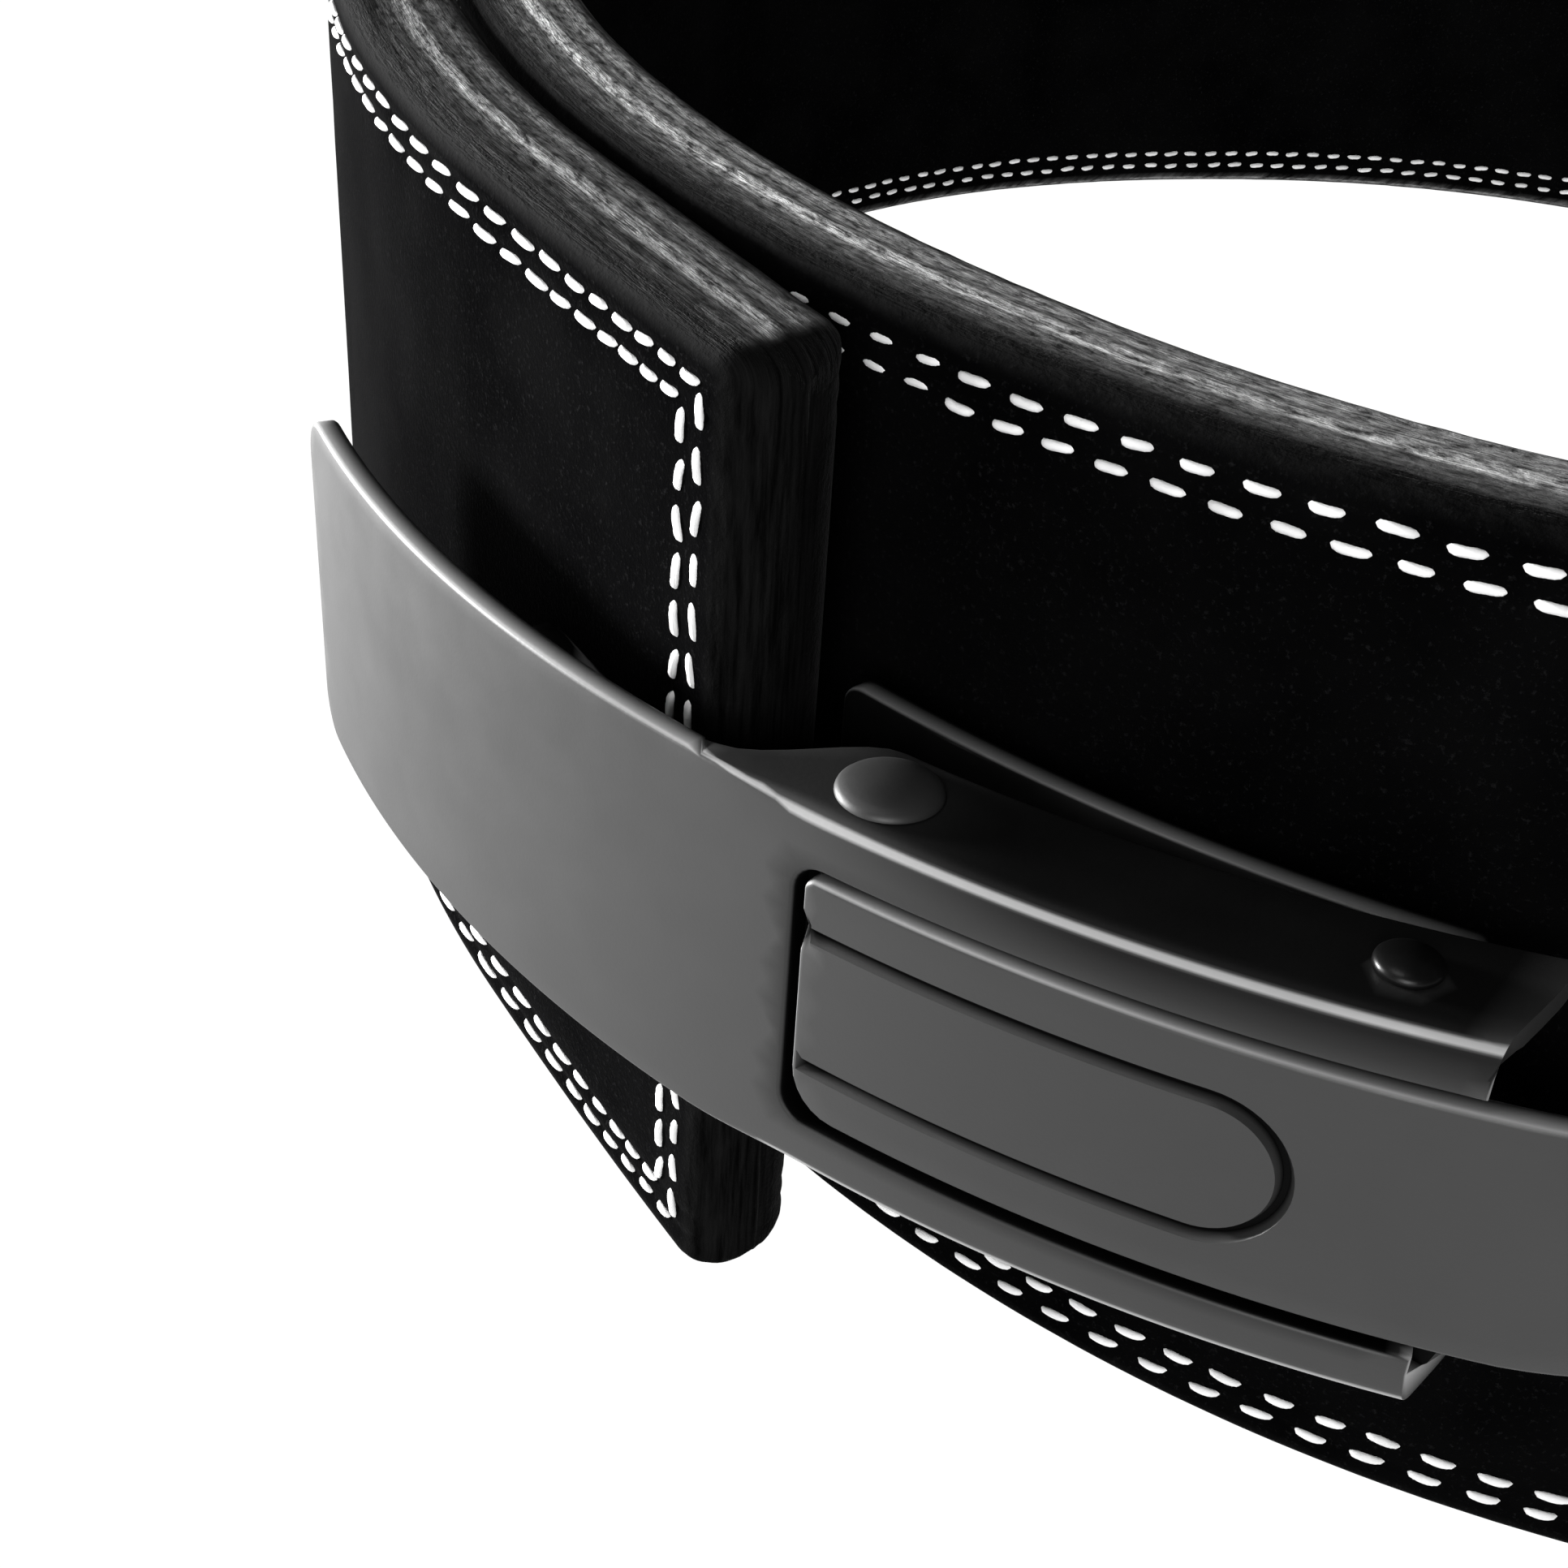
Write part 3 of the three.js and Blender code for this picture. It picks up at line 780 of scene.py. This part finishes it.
# Pressed sheet: a flat outline whose rim has a rounded profile, laid on a curved face
def plain_rim(steps):
    """Rim of a plate: pairs of an inset and a depth, from the face round to the back."""
    quarter = [math.radians(angle) for angle in (0, 30, 60, 90)]
    r = edge_radius
    rim = [(r * (1 - math.sin(angle)), r * (1 - math.cos(angle))) for angle in quarter]
    rim += [(r * (1 - math.cos(angle)), sheet - r * (1 - math.sin(angle))) for angle in quarter]
    return rim + [rim[-1]] * (steps - len(rim))


def flange_rim(depth, bend):
    """Rim of the lever's long edges: the sheet turns back by a bend radius and ends at a depth."""
    if depth <= sheet + 1e-6:
        return plain_rim(flange_steps)
    inner_bend = min(0.9, max(0.0, depth - edge_radius - sheet))
    bend_steps = [math.radians(90 * i / 7) for i in range(8)]
    rim = [(bend * (1 - math.sin(angle)), bend * (1 - math.cos(angle))) for angle in bend_steps]
    low = depth - edge_radius
    for i in range(1, 4):
        rim.append((0.0, bend + (low - bend) * i / 3))
    quarter = [math.radians(angle) for angle in (30, 60, 90)]
    r = edge_radius
    rim += [(r * (1 - math.cos(angle)), depth - r * (1 - math.sin(angle))) for angle in quarter]
    drop = min(r, depth - sheet)
    rim += [(sheet - r * math.cos(angle), depth - drop * (1 - math.sin(angle)))
            for angle in (math.radians(90), math.radians(45), 0.0)]
    for i in range(1, 4):
        rim.append((sheet, depth - drop + (sheet + inner_bend - depth + drop) * i / 3))
    rim += [(sheet + inner_bend * (1 - math.cos(angle)), sheet + inner_bend * (1 - math.sin(angle)))
            for angle in (math.radians(30), math.radians(60), math.radians(90), math.radians(90))]
    return rim


def fill_outline(outline, grid_step, lines=()):
    """Triangles inside a closed outline, through a grid of inner points and along the given lines."""
    points = [Vector(point) for point in outline]
    count = len(points)
    edges = [(i, (i + 1) % count) for i in range(count)]
    faces = [tuple(range(count))]
    for line in lines:
        first = len(points)
        points += [Vector(point) for point in line]
        edges += [(first + i, first + i + 1) for i in range(len(line) - 1)]
    low = Vector((min(p.x for p in points), min(p.y for p in points)))
    high = Vector((max(p.x for p in points), max(p.y for p in points)))
    near = {}
    for point in points:
        near.setdefault((int(point.x // grid_step), int(point.y // grid_step)), []).append(point)
    for row, y in enumerate(spaced(low.y, high.y, grid_step * 0.866)):
        for x in spaced(low.x, high.x, grid_step):
            point = Vector((x + (grid_step / 2 if row % 2 else 0), y))
            cx = int(point.x // grid_step)
            cy = int(point.y // grid_step)
            close = any((other - point).length < grid_step * 0.55
                        for i in (-1, 0, 1) for j in (-1, 0, 1) for other in near.get((cx + i, cy + j), ()))
            if not close:
                points.append(point)
    found, _, triangles, _, _, _ = delaunay_2d_cdt(points, edges, faces, 1, 1e-5)
    return found, triangles


def coat_at(entry, depth, point, tint):
    """How much light is painted on the steel: 1 for a painted highlight on the bends, 0 where plain, and -1
    for painted shade.
    """
    # Painted shade: the window's walls are painted near black and its front rim darker, for the shade in the
    # gap round the link
    if entry.get("window"):
        return -1.0 if depth > painted_highlight_from else -0.3
    if painted_highlight_from < depth < painted_highlight_to:
        return 1.0
    return tint(point.x, point.y, depth)


def sheet_piece(name, path, place, material, grid_step, lines=(), tint=lambda x, y, depth: 0.0):
    """A plate of sheet from an outline path. Each path entry has a point, the way in and its rim, and may
    start one flat end face or lie on the window, whose rim gets painted shade. The tint gives the painted
    shade at a place of the face or flange."""
    steps = len(path[0]["rim"])
    points = []
    faces = []
    rows = []
    coat = []
    for entry in path:
        row = []
        for inset, depth in entry["rim"]:
            flat = entry["point"] + entry["inwards"] * inset
            row.append(len(points))
            points.append(place(flat.x, flat.y, depth))
            coat.append(coat_at(entry, depth, flat, tint))
        rows.append(row)
    for i, row in enumerate(rows):
        after = rows[(i + 1) % len(rows)]
        if path[i].get("flat_end"):
            faces.append(tuple(row) + tuple(reversed(after)))
            continue
        for k in range(steps - 1):
            faces.append((row[k], row[k + 1], after[k + 1], after[k]))
    for level in (0, steps - 1):
        outline = []
        for entry in path:
            inset, depth = entry["rim"][level]
            outline.append(entry["point"] + entry["inwards"] * inset)
        found, triangles = fill_outline(outline, grid_step, lines if level == 0 else ())
        index = []
        for i, point in enumerate(found):
            depth = path[0]["rim"][level][1]
            index.append(len(points))
            points.append(place(point.x, point.y, depth))
            coat.append(coat_at(path[i] if i < len(path) else {}, depth, point, tint))
        faces += [tuple(index[i] for i in triangle) for triangle in triangles]
    mesh = new_mesh(name, points, faces, merged=True, coat=coat)
    return finish_piece(name, mesh, material, 38.0)


def rounded_corner(centre, radius, start, end, steps=6):
    angles = [math.radians(start + (end - start) * i / steps) for i in range(steps + 1)]
    return [(centre + Vector((math.cos(a), math.sin(a))) * radius, -Vector((math.cos(a), math.sin(a))))
            for a in angles]


def straight(start, end, inwards, step=2.2):
    count = max(1, math.ceil((end - start).length / step))
    return [(start.lerp(end, i / count), inwards) for i in range(1, count)]


def lever_place(length, height, depth):
    """The flanges run on past the arms' ends as they go back."""
    flange = smoothstep(abs(height), lever_height / 2 - sheet - edge_radius, lever_height / 2 - sheet)
    near_end = smoothstep(length, lever_reach - 9, lever_reach)
    return to_frame(on_lever(length + flange_lean * depth * flange * near_end, depth), mid_height + height)


def build_lever():
    """The curved lever: a plain handle on the left, and two flanged arms beside its window."""
    half = lever_height / 2
    window_half = window_height / 2
    free_end = lever_reach - lever_length
    flange_from = window_end - flange_start
    plain = plain_rim(flange_steps)
    path = []

    def rim_at(length):
        grown = smoothstep(length, flange_from, flange_from + flange_ramp)
        depth = sheet + (flange_depth - sheet) * grown
        return flange_rim(depth, edge_radius + (bend_radius - edge_radius) * grown)

    def add(entries, long_edge=False, window=False):
        for point, inwards in entries:
            rim = rim_at(point.x) if long_edge else plain
            path.append({"point": point, "inwards": inwards, "rim": rim, "window": window})

    def arm_shade(length, height, depth):
        # Painted shade: the flanges' tops and the sheet behind darken towards the arms' ends, except at the
        # very end, and the top of the upper arm's face darkens to the right, a painted dark reflection
        if depth > painted_highlight_to:
            return -0.85 * smoothstep(length, 16, 40) * smoothstep(lever_reach - length, 0.5, 3)
        return -0.8 * smoothstep(length, 14, 52) * smoothstep(height, 13.8, 16.0)

    up = Vector((0, 1))
    across = Vector((1, 0))
    lengths = spaced(free_end + lever_corner, lever_reach, 1.6)
    top = [(Vector((length, half)), -up) for length in reversed(lengths)]
    add(top[:-1], True)
    add(rounded_corner(Vector((free_end + lever_corner, half - lever_corner)), lever_corner, 90, 180, 8))
    add(straight(Vector((free_end, half - lever_corner)), Vector((free_end, lever_corner - half)), across))
    add(rounded_corner(Vector((free_end + lever_corner, lever_corner - half)), lever_corner, 180, 270, 8))
    bottom = [(Vector((length, -half)), up) for length in lengths]
    add(bottom[1:], True)
    path[-1]["flat_end"] = True
    inner_end = half - sheet - 1.2
    add([(Vector((lever_reach, -inner_end)), -across)])
    add([(Vector((lever_reach, -window_half - edge_radius)), -across)])
    add([(Vector((lever_reach, -window_half)), Vector((-1, -1)))])
    right = Vector((lever_reach, -window_half))
    left = Vector((window_end + window_corner, -window_half))
    add(straight(right, left, -up), window=True)
    low_corner = rounded_corner(left + up * window_corner, window_corner, 270, 180)
    add([(point, -outwards_way) for point, outwards_way in low_corner], window=True)
    add(straight(Vector((window_end, window_corner - window_half)),
                 Vector((window_end, window_half - window_corner)), -across), window=True)
    high_centre = Vector((window_end + window_corner, window_half - window_corner))
    high_corner = rounded_corner(high_centre, window_corner, 180, 90)
    add([(point, -outwards_way) for point, outwards_way in high_corner], window=True)
    add(straight(Vector((window_end + window_corner, window_half)), Vector((lever_reach, window_half)), up),
        window=True)
    add([(Vector((lever_reach, window_half)), Vector((-1, 1)))])
    add([(Vector((lever_reach, window_half + edge_radius)), -across)])
    add([(Vector((lever_reach, inner_end)), -across)])
    path[-1]["flat_end"] = True
    piece = sheet_piece("lever_handle_steel", path, lever_place, satin_steel, 2.0,
                        tint=arm_shade)
    cut(piece, [pin_hole(pivot), pin_hole(link_pin)])
    smooth_by_angle(piece.data, 38.0)
    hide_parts("lever_handle")


# The link plate follows the lever's arc, cranks down to the strap and lies flat round the prongs
def link_line():
    """The link's outer face seen from above, as closely spaced points from its left end."""
    start = window_end + link_end_gap
    arc_end = lever_reach + link_run
    seat = strap_thickness + seat_gap + sheet
    flat_from = prong_at - link_flat
    begin = on_lever(arc_end, 0)
    end = on_belt(flat_from, seat)
    ease = (begin - end).length * crank_ease
    leaving = on_lever(arc_end + ease, 0)
    landing = end - (on_belt(flat_from + ease, seat) - end)
    points = [on_lever(length, 0) for length in spaced(start, arc_end, 1.0)]
    for i in range(1, 25):
        t = i / 24
        points.append(begin * (1 - t) ** 3 + leaving * 3 * t * (1 - t) ** 2
                      + landing * 3 * t * t * (1 - t) + end * t ** 3)
    points += [on_belt(along, seat) for along in spaced(flat_from, prong_at + link_past_prongs, 1.0)[1:]]
    lengths = [start]
    for before, after in zip(points, points[1:]):
        lengths.append(lengths[-1] + (after - before).length)
    normals = []
    for i in range(len(points)):
        tangent = (points[min(i + 1, len(points) - 1)] - points[max(i - 1, 0)]).normalized()
        normals.append(Vector((tangent.y, -tangent.x)))
    return points, lengths, normals


link_points, link_lengths, link_normals = link_line()


def on_link(length, depth):
    low, share = locate(link_lengths, min(max(length, link_lengths[0] - 1), link_lengths[-1] + 1))
    point = link_points[low].lerp(link_points[low + 1], share)
    normal = link_normals[low].lerp(link_normals[low + 1], share).normalized()
    return point - normal * depth


def tongue_distance(length, height):
    """Distance from the middle of the groove that outlines the tongue, negative inside the tongue."""
    half = tongue_height / 2
    end = link_lengths[0] + tongue_length - half
    if length < end:
        return abs(height) - half
    return math.hypot(length - end, height) - half


def link_place(length, height, depth):
    if depth < sheet / 2:
        distance = abs(tongue_distance(length, height))
        lip = smoothstep(distance, groove_width * 0.28, groove_width * 0.85)
        depth = depth + groove_depth * (1 - lip)
    return to_frame(on_link(length, depth), mid_height + height)


def groove_shade(length, height, depth):
    # Painted shade: the bottom of the groove round the tongue is painted near black
    if depth > 0:
        return 0.0
    return smoothstep(abs(tongue_distance(length, height)), groove_width * 0.3, groove_width * 0.6) - 1


def tongue_lines():
    """Lines along the groove, for the mesh to follow."""
    half = tongue_height / 2
    end = link_lengths[0] + tongue_length - half
    start = link_lengths[0] + edge_radius + 0.6
    lines = []
    for offset in (-1.3, -0.85, -0.55, -0.28, 0.0, 0.28, 0.55, 0.85, 1.3):
        reach = half + offset * groove_width
        straight_part = [Vector((length, reach)) for length in spaced(start, end, 1.6)]
        bend = [Vector((end + reach * math.cos(a), reach * math.sin(a)))
                for a in (math.radians(90 - 180 * i / 28) for i in range(1, 28))]
        back = [Vector((length, -reach)) for length in reversed(spaced(start, end, 1.6))]
        lines.append(straight_part + bend + back)
    return lines


def eye_tab(eye, root, bottom, top):
    """An eye round an upright pin, with a stem to the plate that carries it, as a closed mesh."""
    side = (root - eye).normalized() * lug_radius
    square = Vector((-side.y, side.x))
    outline = [root - square, root + square]
    start = math.atan2(square.y, square.x)
    outline += [eye + Vector((math.cos(start + a), math.sin(start + a))) * lug_radius
                for a in (math.pi * i / 16 for i in range(17))]
    return upright(outline, bottom, top)


def upright(outline, bottom, top):
    count = len(outline)
    points = [to_frame(point, bottom) for point in outline] + [to_frame(point, top) for point in outline]
    faces = [tuple(range(count)), tuple(range(count, 2 * count))]
    faces += [(i, (i + 1) % count, count + (i + 1) % count, count + i) for i in range(count)]
    return tool(points, faces)


def plate_path(left, right, half, corner_low, corner_high, rim):
    """The outline of a plate with its left corners rounded and its right corners nearly square."""
    small = 0.8
    up = Vector((0, 1))
    across = Vector((1, 0))
    entries = rounded_corner(Vector((right - small, half - small)), small, 0, 90, 3)
    entries += straight(Vector((right - small, half)), Vector((left + corner_high, half)), -up)
    entries += rounded_corner(Vector((left + corner_high, half - corner_high)), corner_high, 90, 180)
    entries += straight(Vector((left, half - corner_high)), Vector((left, corner_low - half)), across)
    entries += rounded_corner(Vector((left + corner_low, corner_low - half)), corner_low, 180, 270)
    entries += straight(Vector((left + corner_low, -half)), Vector((right - small, -half)), up)
    entries += rounded_corner(Vector((right - small, small - half)), small, 270, 360, 3)
    entries += straight(Vector((right, small - half)), Vector((right, half - small)), -across)
    return [{"point": point, "inwards": inwards, "rim": rim} for point, inwards in entries]


def build_link():
    start = link_lengths[0]
    path = plate_path(start, link_lengths[-1], link_half, link_corner, 1.0, plain_rim(8))
    piece = sheet_piece("link_plate_steel", path, link_place, satin_steel, 2.4,
                        tongue_lines(), groove_shade)
    root = on_lever(window_end + link_pin_inset, sheet * 0.6)
    near = link_half - edge_radius - sheet
    far = link_half - edge_radius
    parts = [
        eye_tab(link_pin, root, mid_height + near, mid_height + far),
        eye_tab(link_pin, root, mid_height - far, mid_height - near),
    ]
    normal = outwards(prong_at)
    seat = strap_thickness + seat_gap + sheet
    radius = hole_diameter / 2 - prong_clearance
    for height in (mid_height + hole_row_gap / 2, mid_height - hole_row_gap / 2):
        foot = to_frame(on_belt(prong_at, 0), height)
        profile = (
            (radius * 0.6, prong_short),
            (radius * 0.9, prong_short + 0.5),
            (radius, prong_short + 1.4),
            (radius, seat - sheet * 0.6),
        )
        parts.append(tool(*rod_mesh(foot, Vector((normal.x, normal.y, 0)), profile, 32)))
    cut(piece, parts, "UNION")
    cut(piece, [pin_hole(link_pin)])
    smooth_by_angle(piece.data, 38.0)
    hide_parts("link_plate")


# The mount
def face_normal(along):
    before = on_belt(along - 1, face_offset(along - 1))
    after = on_belt(along + 1, face_offset(along + 1))
    tangent = (after - before).normalized()
    return Vector((tangent.y, -tangent.x))


def screw_places():
    return [(buckle_end_at - screw_inset - column * screw_pitch, mid_height + side * screw_row_gap / 2)
            for column in (0, 1) for side in (1, -1)]


def build_mount():
    pad_face = strap_thickness + pad_rise + sheet
    seat_end = buckle_end_at - end_round
    back = seat_end - mount_length
    turned = buckle_end_at + seat_gap + sheet
    seat_face = face_offset(buckle_end_at) + seat_gap + sheet

    def seat_place(along, height, depth):
        past = max(0.0, along - seat_end) / (turned - seat_end)
        reach = face_offset(min(along, seat_end)) * (1 - past) + face_offset(buckle_end_at) * past
        return to_frame(on_belt(along, reach + seat_gap + sheet - depth), mid_height + height)

    def pad_place(along, height, depth):
        return to_frame(on_belt(along, pad_face - depth), mid_height + height)

    seat_path = plate_path(back, turned, mount_height / 2, 6.5, 6.5, plain_rim(8))
    pad_end = pivot_along + pad_past_pivot
    pad_path = plate_path(turned - sheet, pad_end, pad_height / 2, 2.0, 2.0, plain_rim(8))
    pad = sheet_piece("mount_plate_steel", pad_path, pad_place, black_steel, 2.6)
    seat = sheet_piece("mount_seat", seat_path, seat_place, black_steel, 2.6)
    low = mid_height - mount_height / 2 + edge_radius
    high = mid_height + mount_height / 2 - edge_radius
    web = upright([
        on_belt(turned - 0.05, seat_face - edge_radius), on_belt(turned - 0.05, pad_face - sheet * 0.6),
        on_belt(turned - sheet, pad_face - sheet * 0.6), on_belt(turned - sheet, seat_face - edge_radius),
    ], low, high)
    root = on_belt(pivot_along, pad_face - sheet / 2)
    lug_top = lever_height / 2 - sheet - pin_clearance
    tabs = [
        eye_tab(pivot, root, mid_height + lug_top - sheet, mid_height + lug_top),
        eye_tab(pivot, root, mid_height - lug_top, mid_height - lug_top + sheet),
    ]
    cut(pad, [seat, web] + tabs, "UNION")
    holes = []
    for along, height in screw_places():
        normal = face_normal(along)
        foot = to_frame(on_belt(along, face_offset(along)), height)
        radius = screw_diameter / 2 + seat_gap
        profile = ((radius, -1.0), (radius, 2 * sheet))
        holes.append(tool(*rod_mesh(foot, Vector((normal.x, normal.y, 0)), profile, 24)))
    holes.append(pin_hole(pivot))
    cut(pad, holes)
    smooth_by_angle(pad.data, 38.0)
    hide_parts("mount_plate")


# Pins and screws
def build_pin(name, centre, head_diameter, material, node):
    """A riveted pin: a shank with a low domed head at each end."""
    half = lever_height / 2 + seat_gap * 0.35
    head = head_diameter / 2
    shank = pin_diameter / 2
    rim = 0.45 if head_diameter < 7 else 0.15
    dome = [(head * math.cos(a), half + rim + (pin_head_height - rim) * math.sin(a))
            for a in (math.radians(angle) for angle in (0, 12, 25, 40, 55, 68, 80, 87))]
    upper = [(shank, half), (head - 0.15, half), (head, half + rim / 2)] + dome
    profile = [(radius, -level) for radius, level in reversed(upper)] + upper
    points, faces = rod_mesh(to_frame(centre, mid_height), Vector((0, 0, 1)), profile, 48)
    piece = finish_piece(name, new_mesh(name, points, faces, merged=True), material, 45.0)
    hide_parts(node)


def build_screw(name, along, height, node):
    normal = face_normal(along)
    axis = Vector((normal.x, normal.y, 0))
    head = screw_head_diameter / 2
    shank = screw_diameter / 2
    seat = on_belt(along, face_offset(along)) + normal * (sheet + 2 * seat_gap)
    foot = to_frame(seat, height)
    under = -screw_depth - sheet - 2 * seat_gap
    profile = [(shank * 0.7, under), (shank, under + 0.6), (shank, 0.0), (head - 0.2, 0.0), (head, 0.25)]
    profile += [(head * math.cos(a), 0.4 + (screw_head_height - 0.4) * math.sin(a))
                for a in (math.radians(angle) for angle in (0, 20, 40, 60))]
    profile += [(head * 0.34, screw_head_height), (head * 0.3, screw_head_height - 0.9)]
    points, faces = rod_mesh(foot, axis, profile, 36)
    mesh = new_mesh(name, points, faces, merged=True)
    piece = finish_piece(name, mesh, satin_steel, 40.0)
    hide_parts(node)


# Studio
def add_floor():
    size = 6.0
    mesh = bpy.data.meshes.new("floor")
    corners = [(-size, -size, 0), (size, -size, 0), (size, size, 0), (-size, size, 0)]
    mesh.from_pydata(corners, [], [(0, 1, 2, 3)])
    material, _, shader = new_material("floor_white")
    shader.inputs["Base Color"].default_value = (0.02, 0.02, 0.02, 1)
    shader.inputs["Roughness"].default_value = 0.9
    shader.inputs["Specular IOR Level"].default_value = 0.0
    shader.inputs["Emission Color"].default_value = (1, 1, 1, 1)
    shader.inputs["Emission Strength"].default_value = 1.04
    mesh.materials.append(material)
    floor = bpy.data.objects.new("floor", mesh)
    bpy.context.scene.collection.objects.link(floor)


def add_area_light(name, azimuth, elevation, distance, size, power):
    """A soft square light that looks at the belt, from an azimuth measured from +X and an elevation."""
    lamp = bpy.data.lights.new(name, "AREA")
    lamp.size = size
    lamp.energy = power
    holder = bpy.data.objects.new(name, lamp)
    turn = math.radians(azimuth)
    rise = math.radians(elevation)
    aim = Vector((0, 0, mid_height * MM))
    way = Vector((math.cos(turn) * math.cos(rise), math.sin(turn) * math.cos(rise), math.sin(rise)))
    holder.location = aim + way * distance
    holder.rotation_euler = way.to_track_quat("Z", "Y").to_euler()
    bpy.context.scene.collection.objects.link(holder)


def add_studio():
    add_floor()
    add_area_light("key_left", 207, 3, 1.6, 0.4, 120.0)
    add_area_light("fill_front", 300, 18, 1.6, 0.7, 15.0)
    add_area_light("top_front", 262, 60, 0.9, 0.25, 1.0)
    world = bpy.data.worlds.new("studio")
    world.use_nodes = True
    world.node_tree.nodes["Background"].inputs["Color"].default_value = (1, 1, 1, 1)
    world.node_tree.nodes["Background"].inputs["Strength"].default_value = 0.03
    bpy.context.scene.world = world
    bpy.context.scene.view_settings.view_transform = "Standard"


build_strap()
build_stitches("stitching_outer", 1)
build_stitches("stitching_inner", -1)
build_lever()
build_link()
build_mount()
build_pin("pivot_pin_steel", pivot, pin_head_diameter, black_steel, "pivot_pin")
build_pin("link_pin_steel", link_pin, link_pin_head_diameter, satin_steel, "link_pin")
for number, (screw_along, screw_height) in enumerate(screw_places(), start=1):
    build_screw(f"mount_screw_steel_{number}", screw_along, screw_height, f"mount_screw_{number}")
add_studio()
